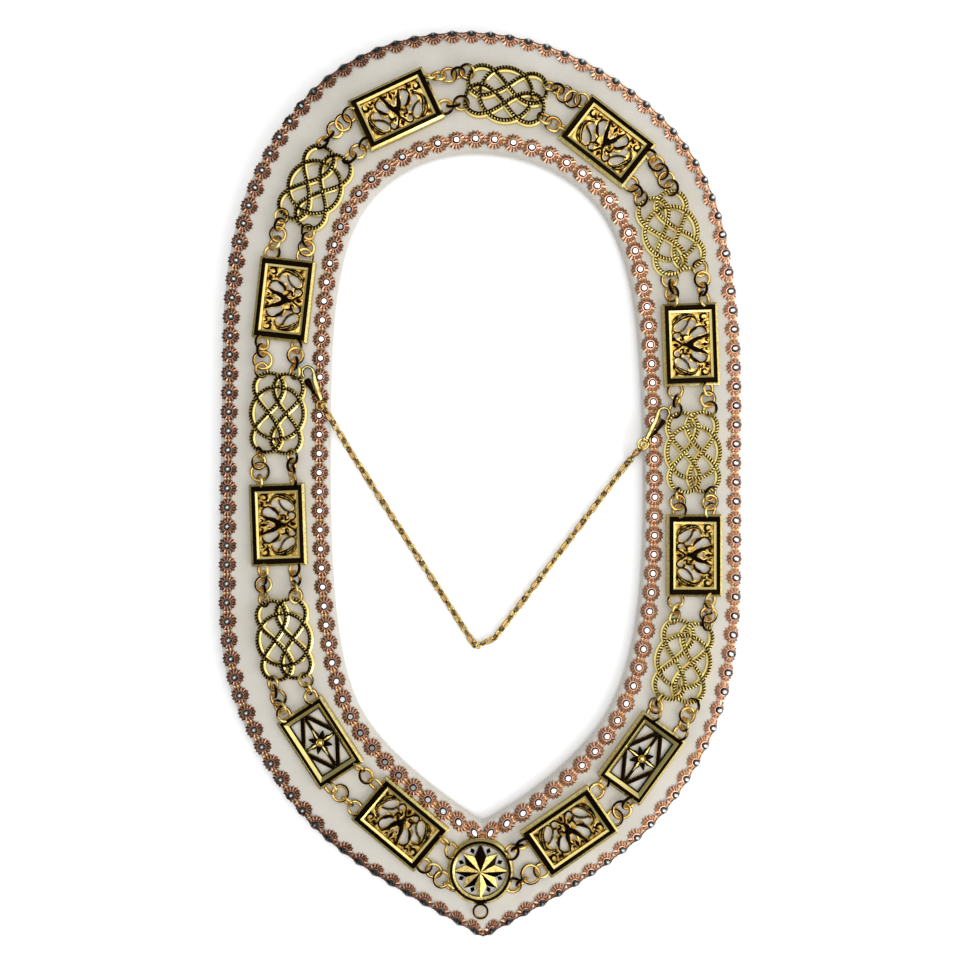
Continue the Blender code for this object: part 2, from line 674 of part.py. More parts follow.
def make_clasps(collection, cutters, material):
    for clasp in CLASPS:
        hook_mesh, lever_mesh = clasp_meshes(clasp.side, cutters)
        hook = finish_object(clasp.name, hook_mesh, collection, material)
        hook.location = (clasp.x * MM, clasp.y * MM, CLASP_BASE * MM)
        hook.rotation_euler = (0.0, 0.0, radians(clasp.turn))
        lever = finish_object(clasp.name + "_lever", lever_mesh, collection, material)
        lever.parent = hook
        lever.location = (LEVER_PIVOT[0] * MM, LEVER_PIVOT[1] * clasp.side * MM, 0.0)


def chain_points():
    """Read evenly spaced points along the neck chain's route."""
    legs = [CHAIN_START, CHAIN_START[-1:] + CHAIN_CORNER[:1], CHAIN_CORNER,
            CHAIN_CORNER[1:] + CHAIN_END[:1], CHAIN_END]
    points = []
    for leg in legs:
        rows = np.array(leg)
        travelled = np.concatenate([[0.0], np.cumsum(np.linalg.norm(np.diff(rows, axis=0), axis=1))])
        count = max(2, round(travelled[-1] / CHAIN_SPACING))
        if len(leg) > 2:
            count *= 2
        places = np.linspace(0.0, travelled[-1], count + 1)
        read = natural_spline(travelled, rows, places) if len(leg) > 2 else np.stack(
            [np.interp(places, travelled, rows[:, axis]) for axis in range(3)], axis=1)
        points.extend(read[1:] if points else read)
    return points


def make_neck_chain(collection, material):
    mesh = tube_mesh("neck_chain", chain_points(), CHAIN_RADIUS)
    return finish_object("neck_chain", mesh, collection, material)


def main():
    clear_scene()
    collection = new_collection(COLLECTION)
    cutters = new_collection(COLLECTION + "_cutters")
    materials = make_materials()
    edges = band_edges()
    make_band(edges, collection, materials["cloth"])
    make_inner_trim(edges, collection, materials["trim"])
    make_outer_trim(edges, collection, materials["trim"])
    make_plates(collection, cutters, materials["gold"])
    make_rails(collection, materials["links"])
    make_clasps(collection, cutters, materials["gold"])
    make_neck_chain(collection, materials["links"])


main()
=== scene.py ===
"""Chain collar: a padded cloth band edged with stone-set wire flowers, a chain of cast plates on
jump rings and a clasped neck chain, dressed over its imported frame. Lengths in the tables are in
millimetres; build() turns them into metres."""

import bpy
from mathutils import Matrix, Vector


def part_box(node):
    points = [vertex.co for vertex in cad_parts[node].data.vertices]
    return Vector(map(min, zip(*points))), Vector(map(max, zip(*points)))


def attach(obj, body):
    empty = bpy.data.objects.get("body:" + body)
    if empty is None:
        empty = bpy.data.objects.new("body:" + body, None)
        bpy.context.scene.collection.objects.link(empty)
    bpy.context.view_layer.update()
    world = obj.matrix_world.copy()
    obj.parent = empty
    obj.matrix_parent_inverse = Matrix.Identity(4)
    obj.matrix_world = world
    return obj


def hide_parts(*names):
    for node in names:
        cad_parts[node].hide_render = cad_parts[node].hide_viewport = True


bl_info = {
    "name": "Chain collar",
    "version": (1, 0, 0),
    "blender": (4, 5, 0),
    "location": "View3D > Sidebar > Collar",
    "description": "Builds a padded regalia collar with cast plates, jump rings and stone trims",
    "category": "Add Mesh",
}

from collections import namedtuple
from math import cos, degrees, pi, radians, sin

import bpy
import numpy as np

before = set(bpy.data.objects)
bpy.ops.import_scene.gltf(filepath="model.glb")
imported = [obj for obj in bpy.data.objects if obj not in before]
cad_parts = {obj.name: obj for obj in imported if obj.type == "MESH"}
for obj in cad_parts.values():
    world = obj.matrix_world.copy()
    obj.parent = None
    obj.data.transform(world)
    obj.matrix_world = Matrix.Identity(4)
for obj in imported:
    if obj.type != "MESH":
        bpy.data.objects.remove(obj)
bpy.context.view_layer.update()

MM = 0.001
UPWARD = np.array((0, 0, 1))

# Band: rows of (inner x, inner y, outer x, outer y) from the front point up the left side.
SECTIONS = np.array([
    (2, -201.5, 2.5, -271.5), (-28, -180, -67, -231), (-64, -144.5, -118, -185.5),
    (-81, -102, -152, -121), (-86.5, -51.5, -158, -54), (-88, 6, -157.5, 6.5),
    (-87.5, 64.5, -156.5, 66), (-84, 118, -153, 130.5), (-70, 163, -131.5, 198.5),
    (-40, 190, -76, 255), (-1, 199, 1, 271.5), (41, 189.5, 73, 249), (74.5, 162, 128.5, 198),
    (91, 117.5, 152.5, 130.5), (96, 64, 158, 66.5), (97.5, 6.5, 158, 6.5),
    (96.5, -51, 158, -54), (89.5, -102.5, 151, -119.5), (70, -146, 121, -184),
    (34, -181, 72, -231), (2, -201.5, 2.5, -271.5)], float)
BAND_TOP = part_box("band")[1].z / MM
EDGE_ROLL = BAND_TOP / 2
# How deep the neck edge's bow is, how far the outer trim stands out past the cloth, and how far
# in from its edge each trim is sewn.
NECK_REACH = 3
TRIM_SPREAD = 1.6
TRIM_LINE = 7
OUTER_TRIM_LINE = 2
TRIM_BASE = BAND_TOP + 0.3
# Flower: for its middle and its rim the reach, height and darkness in a valley, and how much
# more on a crest.
FLOWER_RINGS = np.array([[(3.1, 0), (0.6, 0.6), (0.5, -0.35)],
                         [(4.7, 1.1), (0.1, 0.35), (0.62, -0.42)]])
# Outer trim: at these x its flowers lie this far round the edge.
OUTER_LEAN = (-140, -90, 142, 154), (-2.3, 2.6, 2.6, 0.4)
ROUTE_STATIONS = 1600
BAND_STATIONS = 480
# Padding: what lies lower is sewn down, and the cloth solver's frames and settings.
SEWN_HEIGHT = 0.8
PADDING_FRAMES = 16
PADDING = {"vertex_group_mass": "sewn", "use_pressure": True, "uniform_pressure_force": 4,
           "quality": 4, "tension_stiffness": 8, "bending_stiffness": 0.3}

# Chain: plates with local +X along the chain, clockwise from above, and +Y outward.
Plate = namedtuple("Plate", "name x y turn kind")
PLATES = [Plate(*row, row[0].split("_")[0]) for row in [
    ("medallion", 0.9, -229.2, 180), ("filigree_plate_1", -46.8, -201.3, 140),
    ("rosette_plate_1", -94.2, -152.7, 123), ("knot_plate_1", -116.1, -91.8, 96),
    ("filigree_plate_2", -119.3, -23.5, 92), ("knot_plate_2", -120, 42.7, 87),
    ("filigree_plate_3", -115.9, 110.1, 83.6), ("knot_plate_3", -97.7, 177, 60),
    ("filigree_plate_4", -49.1, 223.2, 25), ("knot_plate_4", 16, 232.3, -10),
    ("filigree_plate_5", 76, 204.2, -38), ("knot_plate_5", 114.3, 149.8, -70),
    ("filigree_plate_6", 125.7, 83.5, -88), ("knot_plate_6", 127.6, 19.5, -88),
    ("filigree_plate_7", 127.9, -41.8, -90), ("knot_plate_7", 121.7, -104.8, -100),
    ("rosette_plate_2", 96.5, -162.2, -126), ("filigree_plate_8", 53.6, -205.7, -145.4)]]
PLATE_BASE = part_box("filigree_plate_1")[0].z / MM
FILIGREE_SIZE = (49, 33.2)
ROSETTE_SIZE = (47.2, 31.4)
GROUND_HEIGHT = 2.3
SHEET_BASE = 1.1
SHEET_CELL = 0.5
PANEL_INSET = (5.6, 5.1)
# Frames: (how far in from the ends, how far in from the sides, height, darkness). The flat
# top, at darkness 1, is painted black as a dark reflection.
FILIGREE_FRAME = [
    (0, 0, 0, 0.3), (0.1, 0.15, 4, 0.26), (1.3, 1.5, 4.8, 0.22), (1.45, 1.7, 5, 1),
    (4.4, 3.8, 5, 1), (4.55, 3.95, 4.9, 0.15), (5.7, 5.2, 4.3, 0.05), (5.85, 5.35, 2, 0.9),
    (5.85, 5.35, 0, 0.5)]
ROSETTE_FRAME = [
    (0, 0, 0, 0.3), (0.1, 0.15, 4, 0.3), (1.3, 1.5, 4.8, 0.2), (1.45, 1.65, 5, 1),
    (3.4, 3.2, 5, 1), (3.55, 3.35, 4.85, 0), (5.6, 5.2, 3.6, 0), (5.7, 5.3, 3.4, 0.95),
    (6.3, 5.9, 3, 0.95), (6.3, 5.9, 0, 0.4)]

# Knot: three strands woven over and under; the left strand's loop, whose halves mirror each
# other in Y, and the crossings of both, as points of the loop and as angles round the ring.
KNOT_RING = 15.6
KNOT_LOOP = [(x, half * y) for half in (1, -1) for x, y in (
    (-5.3, 0), (0, 6.6), (3, 15.3), (0, 21.8), (-6.8, 23.4), (-12.2, 21), (-14.5, 15.4),
    (-12.7, 9))]
KNOT_LOOP_CROSSINGS = [0, 1, 2, 3, 7, 8, 9, 10, 11, 15]
KNOT_RING_CROSSINGS = [35.3, 78.9, 101.1, 144.7, 215.3, 258.9, 281.1, 324.7]
KNOT_CROWN = 4.6
KNOT_DIP = 0.4
KNOT_FOOT = 1.35
KNOT_SPREAD = 0.85
NOTCH_PITCH = 1.8
NOTCH_STEPS = np.array([0, 0.52, 0.62, 0.9])
# Knots on the right side, where the light comes from, keep this share of their painted shade.
LIT_SIDE_KNOT_SHADE = 0.6

# Filigree panel: outlines of its gaps, then (points, widths, height) of its scrolls. Both are
# mirrored in X, but for those in the middle.
FILIGREE_GAPS = [
    [(8.6, 8.9), (9.9, 7.6), (9.7, 4.9), (7.8, 2.4), (5.1, 0.5), (4.1, 0.8), (4.4, 3), (5.6, 6.2),
     (6.6, 8.7)],
    [(12.4, 3.8), (14.3, 2.4), (14.3, 0.5), (12.1, -0.6), (9.4, -2.5), (7.5, -4.6), (6.1, -3.8),
     (6.4, -2.2), (8.6, -1.4), (10.2, 0.8), (10.7, 3)],
    [(14.3, -1.4), (14.6, -4.1), (12.6, -7.2), (10.2, -9), (8.6, -8.5), (8.6, -6.3), (9.7, -4.1),
     (12, -2.4)],
    [(6.2, -6.5), (6.6, -8.4), (5.2, -9.4), (3.8, -8.1), (4.5, -6.7)]]
MIDDLE_GAP = [(0, 6), (0.95, 4.4), (0, 2.7), (-0.95, 4.4)]
SCROLLS = [
    ([(6.1, 10.4), (4, 6.2), (2.9, 3), (1.3, 0.2), (0.2, -1.9), (0, -4.3)],
     [0.7, 1.9, 2.6, 2.9, 2.7, 1.2], 2.2),
    ([(6.7, 10), (9.5, 8.8), (10.8, 6.2), (10, 3.6), (8.4, 1.3), (6.8, 0), (5.2, -0.6)],
     [0.6, 1, 1.2, 1.2, 2.2, 1.8, 0.6], 1.8),
    ([(17.5, 10.4), (18.2, 8.4), (17.4, 6.7), (15.7, 6.4), (14.8, 8), (15.7, 9.2)],
     [0.7, 1.3, 1.6, 1.5, 1.3, 0.6], 1.5),
    ([(13.8, 10.6), (12.8, 8.8), (11.4, 9.8), (10.8, 7.4)], [0.6, 1.3, 1.1, 0.6], 1.4),
    ([(5.6, -1.2), (5.6, -3), (4.6, -4.6), (3.1, -4.4), (2.8, -5.7), (3.9, -6.2)],
     [0.8, 1.2, 1.4, 1.3, 1.2, 0.6], 1.7),
    ([(0.2, -5.2), (2, -7.4), (3.6, -9.9), (6.2, -10.2), (7.3, -8), (6.6, -5.9), (5.2, -5.6)],
     [1.4, 1.3, 1.1, 1, 1.1, 1, 0.5], 1.5),
    ([(12, 6.8), (13.8, 6.2), (14.4, 4.9)], [0.5, 1.2, 0.4], 1.1),
    ([(1.6, 10.6), (2.8, 9), (3.4, 10.6)], [0.5, 1.3, 0.5], 1.2)]
LIT_CREST_SCROLLS = [
    ([(12.3, 4.6), (15.4, 3.4), (17.2, 0.9), (16.9, -2.2), (15.6, -5.4), (13.6, -8.2), (11, -10),
      (8.6, -10.1)], [0.5, 1.3, 2.2, 2.6, 2.5, 2.2, 1.4, 0.6], 1.9),
    ([(17.8, 0.4), (18.1, -3.4), (17.2, -7), (14.8, -9.6), (11.8, -10.6)],
     [0.5, 0.9, 0.9, 0.8, 0.4], 1.4),
    ([(15, -0.6), (12.2, -1.5), (9.5, -3.4), (7.9, -5.7), (7.6, -8.4), (8.7, -10.2)],
     [0.9, 1.2, 1.4, 1.4, 1.1, 0.7], 1.6)]
SCROLL_STEP = 0.55
SCROLL_ARCH = np.array([(1, -0.2), (0.94, 0.45), (0.55, 0.9), (0, 1), (-0.55, 0.9), (-0.94, 0.45),
                        (-1, -0.2)])
# How dark a scroll is from its foot to its crest. The sort whose crest is lighter has a painted
# highlight there.
BLACK = (0.5, 0.95, 1, 1)
LIT_CREST = (0.5, 0.95, 0.85, 0.48)
BRIGHT = (0.6, 0.2, 0, 0)
MIDDLE_SCROLLS = [
    ([(0, 10.7), (0, 9), (0, 6.4)], [0.6, 2.4, 0.6], 1.6),
    ([(0, 1.8), (0, -1.6), (0, -4.8)], [1, 3, 1.2], 2.2),
    ([(0, -7), (0, -9), (0, -10.7)], [0.5, 2.2, 0.6], 1.3)]
BRIGHT_LEAVES = [
    ([(1.9, -1.4), (2.3, -3), (1.7, -4.6)], [0.4, 1.4, 0.4], 1.2),
    ([(17.3, -2.6), (16.4, -6), (14.2, -8.8)], [0.3, 0.9, 0.3], 1.9),
    ([(12.6, 7.4), (14.4, 5.6), (16.6, 4.6)], [0.4, 1.3, 0.4], 0.9),
    ([(1.6, 7.6), (2.3, 5.2), (1.5, 2.8)], [0.3, 1, 0.3], 0.9)]

# Fields behind which the cloth swells: half length, half width, height.
BULGES = {"filigree": (21.5, 13.5, 1), "rosette": (21, 13, 1.5),
          "medallion": (18, 18, 1.4)}

# Rosette plate: (start, end, width) of the bars of a lozenge and a cross, then a long and a short
# petal: points, widths, height, base and darkness.
ROSETTE_BARS = [
    ((19.6, 0), (0, 11.6), 3), ((0, 11.6), (-19.6, 0), 3), ((-19.6, 0), (0, -11.6), 3),
    ((0, -11.6), (19.6, 0), 3), ((-16.5, 0), (16.5, 0), 2.1), ((0, -9.6), (0, 9.6), 2.1)]
ROSETTE_PETALS = [
    ([(1.2, 0), (4.4, 0), (8.8, 0)], [1.4, 3.6, 0.6], 1.5, 3, (1, 1, 0.9, 0)),
    ([(1.2, 0), (3.8, 0), (7.2, 0)], [1.2, 3.2, 0.6], 0.9, 3, (0.9, 0.9, 1, 1))]

# Medallion: a compass star in a ring. The rim is (how far in, height, darkness), its flat top
# at darkness 1 painted black as a dark reflection; the jewel ring its radius, wire and level.
MEDALLION_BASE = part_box("medallion")[0].z / MM
MEDALLION_RADIUS = 19.9
MEDALLION_RIM = [(0, 0, 0.3), (0.25, 2.8, 0.3), (0.6, 3.3, 0.2), (1.7, 3.9, 0.2),
                 (1.8, 4, 1), (3.2, 4, 1), (3.35, 3.9, 0.35), (4.6, 3.2, 0.3),
                 (4.7, 2.6, 0.7), (4.7, 0, 0.3)]
STAR_REACH = 16.6
STAR_VALLEY = 9.2
STAR_POINTS = 8
JEWEL_RING = (4.1, 0.75, 12)

# Rails: for each gap between plates the rings of its outer and inner row, round from the first
# plate: a small and steep, d middling and tilted, f flat, F flat and wide. The ends are how far
# along a plate its rails start, and the hold is how far their end rings reach back. Rings stray
# by so much to a side, in their turn and in their nod.
RAIL_SPREAD = 9.7
RAIL_ENDS = {"medallion": (MEDALLION_RADIUS**2 - RAIL_SPREAD**2)**0.5 - 0.8, "knot": 22.6,
             "filigree": FILIGREE_SIZE[0] / 2 - 0.4, "rosette": ROSETTE_SIZE[0] / 2 - 0.4}
RING_SORTS = {"a": (3.6, 60), "d": (4.2, 42), "f": (4.5, 14), "F": (5.3, 8)}
RING_WIRE = 0.95
RING_HOLD = 1.6
RING_STRAY = 0.8
RING_TURN = degrees(0.3)
RING_NOD = 10
RAIL_ROWS = [row.split("/") for row in (
    "affd/da dafd/dda ddfad/dad dafad/dadd aFda/aaad dFad/dafd fdfad/ffad daffd/dfa adfad/fad "
    "daffd/dfa afdfd/fad ffad/fada dfd/fad dfd/afd dafd/fad dfad/add dFf/af dFaf/dad").split()]

# Clasps: local +X runs from the tail to the hook; side says which way the lever faces.
# The swivel is the (x, y, radius, darkness) of the ring on its tail, the darkness scaling its
# painted dark reflection; breadth is its lever's.
Clasp = namedtuple("Clasp", "name x y turn side swivel breadth")
CLASPS = [Clasp("left_clasp", -93.2, 50, 113, 1, (-2.4, 1.6, 2.9, 0.9), 1.15),
          Clasp("right_clasp", 99, 27, 59, -1, (-3.2, 0, 3.1, 0.45), 0.9)]
CLASP_Z = 12
HOOK_LINE = [(0.6, 0.1), (4, 0), (9, -0.4), (14, -1), (18.4, -2.2), (21.4, -0.8),
             (22, 2), (19.9, 4.2), (17, 4.2)]
HOOK_WIDTHS = [1.2, 1.5, 1.6, 1.5, 1.15, 1, 0.95, 0.95, 0.8]
# A lever's profile and how dark it is round it, its top painted black as a dark reflection.
BAR_ARCH = np.array([(1, -0.5), (1, 0.45), (0.7, 1), (-0.7, 1), (-1, 0.45), (-1, -0.5)])
BAR_DARK_REFLECTION = np.array([0, 0.6, 1, 1, 0.6, 0])

# Neck chain: the route of its middle line, and by turns each link's length, width, roll,
# darkness and warmth; the darkness is painted shade, more on the links rolled up on edge.
CHAIN_REST = 2
CHAIN_ROUTE = [
    (-92.4, 48, 12.4), (-90.2, 43, 12.4), (-87.2, 38, 11.9), (-85, 34, 9.2), (-83, 30.2, 5.2),
    (-80.8, 26, 2.3), *((x, y, CHAIN_REST) for x, y in (
        (-78, 21), (-40, -38.2), (-4.6, -93.2), (-1.9, -97.2), (9.4, -92.2), (12.4, -88.2),
        (50, -38.8), (87.4, 10.8))),
    (90.2, 14.4, 2.3), (92.6, 17.6, 5.2), (94.4, 20.2, 9.2), (96.6, 22.8, 11.9),
    (98.2, 24.8, 12.4)]
CHAIN_WIRE = 0.82
CHAIN_LINKS = [(4.6, 4.4, 8, 0.05, 0.2), (4.8, 4.2, 52, 0.3, 0.5), (6.8, 4.2, 20, 0.1, 0.5),
               (4.8, 4.2, 128, 0.3, 0.5)]

# Studio, in metres: (name, place, width, power) of the lamps.
LAMPS = [("key", (0.1, 0.3, 1.3), 0.9, 4.2), ("fill", (0.7, -0.75, 0.8), 0.8, 6.2)]
CAMERA_PLACE = (0.0006, 0.003, 0.704)
FLOOR_Z = -0.0002


# --- sizes and colours that a user would change ---


class CollarSizes(bpy.types.PropertyGroup):
    inner_pitch: bpy.props.FloatProperty(
        name="Neck trim pitch", default=0.01135, min=0.009, max=0.02, unit="LENGTH",
        description="Distance between the flowers of the trim beside the neck edge")
    outer_pitch: bpy.props.FloatProperty(
        name="Outer trim pitch", default=0.0114, min=0.009, max=0.02, unit="LENGTH",
        description="Distance between the flowers of the trim on the outer edge")
    stone_width: bpy.props.FloatProperty(
        name="Stone width", default=0.005, min=0.003, max=0.007, unit="LENGTH",
        description="Width of the set stones")
    petals: bpy.props.IntProperty(
        name="Petals", default=14, min=8, max=20, description="Wire petals of each flower")
    link_length: bpy.props.FloatProperty(
        name="Chain link length", default=0.0068, min=0.005, max=0.012, unit="LENGTH",
        description="Outer length of a neck chain link")
    padding_swell: bpy.props.FloatProperty(
        name="Padding swell", default=0.0011, min=0.0, max=0.003, unit="LENGTH",
        description="How far the cloth may move as its padding fills it")


class CollarColours(bpy.types.PropertyGroup):
    cloth: bpy.props.FloatVectorProperty(
        name="Cloth", subtype="COLOR", size=3, default=(0.548, 0.522, 0.472), min=0.0, max=1.0,
        description="Colour of the woven band")
    gold: bpy.props.FloatVectorProperty(
        name="Gold", subtype="COLOR", size=3, default=(0.79, 0.67, 0.25), min=0.0, max=1.0,
        description="Colour of the polished gold plating")
    # Inside the rings this is a painted warm reflection; on the panels' ground, the metal's own
    # tone.
    amber: bpy.props.FloatVectorProperty(
        name="Amber gold", subtype="COLOR", size=3, default=(0.72, 0.40, 0.08), min=0.0, max=1.0,
        description="Warmer gold inside the rings and on the ground of the panels")
    # Mostly painted dark reflection and painted shade on raised faces, with some tarnish.
    shade_and_tarnish: bpy.props.FloatVectorProperty(
        name="Patina", subtype="COLOR", size=3, default=(0.0045, 0.0023, 0.001), min=0.0, max=1.0,
        description="Dark finish of the raised faces")
    rose: bpy.props.FloatVectorProperty(
        name="Rose gold", subtype="COLOR", size=3, default=(0.81, 0.47, 0.34), min=0.0, max=1.0,
        description="Colour of the trim's wire")


# --- surfaces as whole arrays ---

Shell = namedtuple("Shell", "points faces finish")


def shell(points, faces, shade_and_tarnish=0, warmth=0):
    """Points (n, 3), faces (m, 4) with a triangle's last corner repeated, and a colouring (n, 3)
    of how dark the metal is at each point, mostly painted shade, how warm, and 0."""
    points = np.asarray(points, float).reshape(-1, 3)
    finish = np.zeros((len(points), 3))
    finish[:, 0], finish[:, 1] = np.ravel(shade_and_tarnish), np.ravel(warmth)
    return Shell(points, np.asarray(faces, int).reshape(-1, 4), finish)


def circle(count, start=0):
    """Unit points round the origin, (cos a, sin a, 0) for even steps of a."""
    angle = np.arange(count) * 2 * pi / count + start
    return np.stack([np.cos(angle), np.sin(angle), 0 * angle], axis=1)


def lifted(plan, height):
    """The points of a plan at heights."""
    height = np.broadcast_to(height, plan.shape[:-1])
    return np.concatenate([plan[..., :2], height[..., None]], axis=-1)


def unit(vectors):
    """Vectors divided by their lengths."""
    return vectors / np.linalg.norm(vectors, axis=-1)[..., None]


def weave_faces(rows, columns, close_rows=False, close_columns=False):
    """Quads of a grid whose point (r, c) has the number r * columns + c."""
    grid = np.arange(rows * columns).reshape(rows, columns)
    grid = np.pad(grid, ((0, close_rows), (0, close_columns)), "wrap")
    quads = np.stack([grid[:-1, :-1], grid[1:, :-1], grid[1:, 1:], grid[:-1, 1:]], axis=-1)
    return quads.reshape(-1, 4)


def cap_faces(ring, middle):
    """Triangles from a middle point to a closed ring of points."""
    after = np.roll(ring, -1)
    return np.stack([np.full(len(ring), middle), ring, after, after], axis=1)


def capped(rings, poles, shade_and_tarnish=0, warmth=0):
    """Join closed rings (row, column) in turn, with a pole to shut the first and the last."""
    rows, columns = rings.shape[:2]
    ring, size = np.arange(columns), rows * columns
    faces = [weave_faces(rows, columns, False, True), cap_faces(ring, size),
             cap_faces(size - 1 - ring, size + 1)]
    points = np.concatenate([rings.reshape(-1, 3), poles])
    return outward(shell(points, np.concatenate(faces), shade_and_tarnish, warmth))


def ringed(points, shade_and_tarnish=0, warmth=0):
    """Join closed rings (row, column) in turn, the last one to the first."""
    size = points.shape[:2]
    finish = [np.broadcast_to(value, size) for value in (shade_and_tarnish, warmth)]
    return outward(shell(points, weave_faces(*size, True, True), *finish))


def merge(shells):
    """Join shells into one."""
    starts = np.cumsum([0] + [len(one.points) for one in shells[:-1]])
    shells = [one._replace(faces=one.faces + start) for one, start in zip(shells, starts)]
    return Shell(*(np.concatenate(parts) for parts in zip(*shells)))


def outward(one):
    """Turn a closed shell's faces over where its signed volume, the sum of a . (b x c) over its
    triangles, is negative."""
    a, b, c, d = (one.points[one.faces[:, k]] for k in range(4))
    volume = np.einsum("ij,ij->", a, np.cross(b, c)) + np.einsum("ij,ij->", a, np.cross(c, d))
    return one if volume >= 0 else one._replace(faces=turned(one.faces))


def turned(faces):
    """Reverse the corners of quads, and of triangles with their last corner repeated."""
    triangle = faces[:, 2] == faces[:, 3]
    back = faces[:, ::-1].copy()
    back[triangle] = faces[triangle][:, [2, 1, 0, 0]]
    return back


def turn_axes(turn):
    """Where the three axes point after a turn in degrees about Z."""
    c, s = cos(radians(turn)), sin(radians(turn))
    return np.array([(c, s, 0), (-s, c, 0), (0, 0, 1)])


def placed(one, x=0, y=0, z=0, turn=0, flip_x=1, flip_y=1):
    """Mirror, turn about Z and shift a shell."""
    points = one.points * (flip_x, flip_y, 1) @ turn_axes(turn) + (x, y, z)
    faces = one.faces if flip_x * flip_y > 0 else turned(one.faces)
    return Shell(points, faces, one.finish)


def copies(one, points):
    """A shell's faces and finish again for each row of new points."""
    count, size = points.shape[:2]
    faces = one.faces[None] + (np.arange(count) * size)[:, None, None]
    return Shell(points.reshape(-1, 3), faces.reshape(-1, 4), np.tile(one.finish, (count, 1)))


def spread(one, axes, places):
    """Repeat a shell at many places: point p becomes place + p . axes for each (3, 3) axes."""
    return copies(one, np.einsum("pi,nij->npj", one.points, axes) + places[:, None, :])


def spline(knots, values, at, closed=False):
    """Cubic spline: between knots the value is the straight blend plus a cubic of the bends at
    both ends, and the bends solve h0 B0 + 2 (h0 + h1) B1 + h1 B2 = 6 (slope1 - slope0). A closed
    one repeats its first value at the end; an open one has no bend at its ends."""
    steps = np.diff(knots)
    slopes = np.diff(values, axis=0) / steps[:, None]
    size = len(steps) + (not closed)
    system = np.eye(size)
    right = np.zeros((size, values.shape[1]))
    rows = np.arange(not closed, len(steps))
    before, after = steps[rows - 1], steps[rows]
    system[rows, rows] = 2 * (before + after)
    system[rows, rows - 1] = before
    system[rows, (rows + 1) % size] = after
    right[rows] = 6 * (slopes[rows] - slopes[rows - 1])
    bends = np.linalg.solve(system, right)
    if closed:
        bends = np.concatenate([bends, bends[:1]])
    span = np.clip(np.searchsorted(knots, at, side="right") - 1, 0, len(steps) - 1)
    width = steps[span][:, None]
    ahead = ((knots[span + 1] - at) / steps[span])[:, None]
    behind = 1 - ahead
    curved = (ahead**3 - ahead) * bends[span] + (behind**3 - behind) * bends[span + 1]
    return ahead * values[span] + behind * values[span + 1] + curved * width**2 / 6


def travelled(points):
    """Distance from the first point to each point along the line through them."""
    return np.concatenate([[0], np.cumsum(np.linalg.norm(np.diff(points, axis=0), axis=1))])


def read(at, places, values):
    """Straight readings of every column of values at the places asked for."""
    return np.stack([np.interp(at, places, column) for column in np.asarray(values).T], axis=1)


def even_curve(points, step, closed=False):
    """A smooth curve through points, read at even steps: its places, points and length."""
    points = np.asarray(points, float)
    if closed:
        points = np.concatenate([points, points[:1]])
    knots = travelled(points)
    line = spline(knots, points, np.linspace(0, knots[-1], 40 * len(points)), closed)
    run = travelled(line)
    count = max(int(round(run[-1] / step)), 3)
    places = np.arange(count + (not closed)) * run[-1] / count
    return places, read(places, run, line), run[-1]


def headings(line, closed=False):
    """Unit tangents of a line of points by central differences."""
    if closed:
        return unit(np.roll(line, -1, axis=0) - np.roll(line, 1, axis=0))
    return unit(np.gradient(line, axis=0))


def swept(line, profile, closed=False, shade_and_tarnish=0, warmth=0, side=None):
    """Carry a closed profile along a line: point (i, j) = line i + side i * away j + z * height j.
    The level side is square to the line unless it is given. The profile is (m, 2), or (n, m, 2)
    where it changes; open ends get a flat cap."""
    if side is None:
        side = unit(lifted(headings(line, closed)[:, [1, 0]] * (1, -1), 0))
    profile = np.broadcast_to(profile, (len(line),) + np.shape(profile)[-2:])
    points = line[:, None] + side[:, None] * profile[..., :1] + UPWARD * profile[..., 1:]
    if closed:
        return ringed(points, shade_and_tarnish, warmth)
    finish = [np.broadcast_to(value, points.shape[:2]) for value in (shade_and_tarnish, warmth)]
    finish = [np.append(value, value[[0, -1]].mean(axis=1)) for value in finish]
    return capped(points, points[[0, -1]].mean(axis=1), *finish)


def round_profile(radius, sides):
    """A circle's profile, turned by half a side."""
    return radius * circle(sides, pi / sides)[:, :2]


def ring_shell(radius, wire, around=22, sides=8, dark=0.9, phase=None):
    """A ring in the XY plane: a circle of wire carried round. Its crest and outside are painted
    dark as a dark reflection, on one side of it more than on the other where a phase is given, a
    painted lit side, and its inside is painted warm as a reflection."""
    out, profile = circle(around), round_profile(wire, sides)
    outside, crest = profile[:, 0] / wire, np.abs(profile[:, 1]) / wire
    # Painted dark reflection on the crest and the outside; the warmth inside is a painted
    # reflection.
    share = np.clip(0.35 + 0.75 * crest * outside + 0.45 * outside + 0.35 * crest, 0, 1)
    # Painted light and shade: the side away from the phase direction is lighter.
    if phase is not None:
        lit = 0.72 + 0.5 * (out @ (sin(phase), cos(phase), 0))
        share = share * np.clip(lit, 0.2, 1)[:, None]
    return swept(out * radius, profile, True, dark * share,
                 np.clip(0.35 - 0.6 * outside, 0, 0.9), side=out)


def relief(points, widths, height, base=GROUND_HEIGHT, finish=BLACK):
    """A scroll: a half-round ridge carried along a smooth line, narrowing to its ends."""
    places, line, length = even_curve(points, SCROLL_STEP)
    width = np.interp(places, np.linspace(0, length, len(widths)), widths) / 2
    rise = height * np.minimum(1, 0.35 + 0.65 * width / (0.5 * max(widths)))
    profile = SCROLL_ARCH * np.stack([width, rise], axis=1)[:, None]
    return swept(lifted(line, base), profile, shade_and_tarnish=np.array(finish + finish[2::-1]))


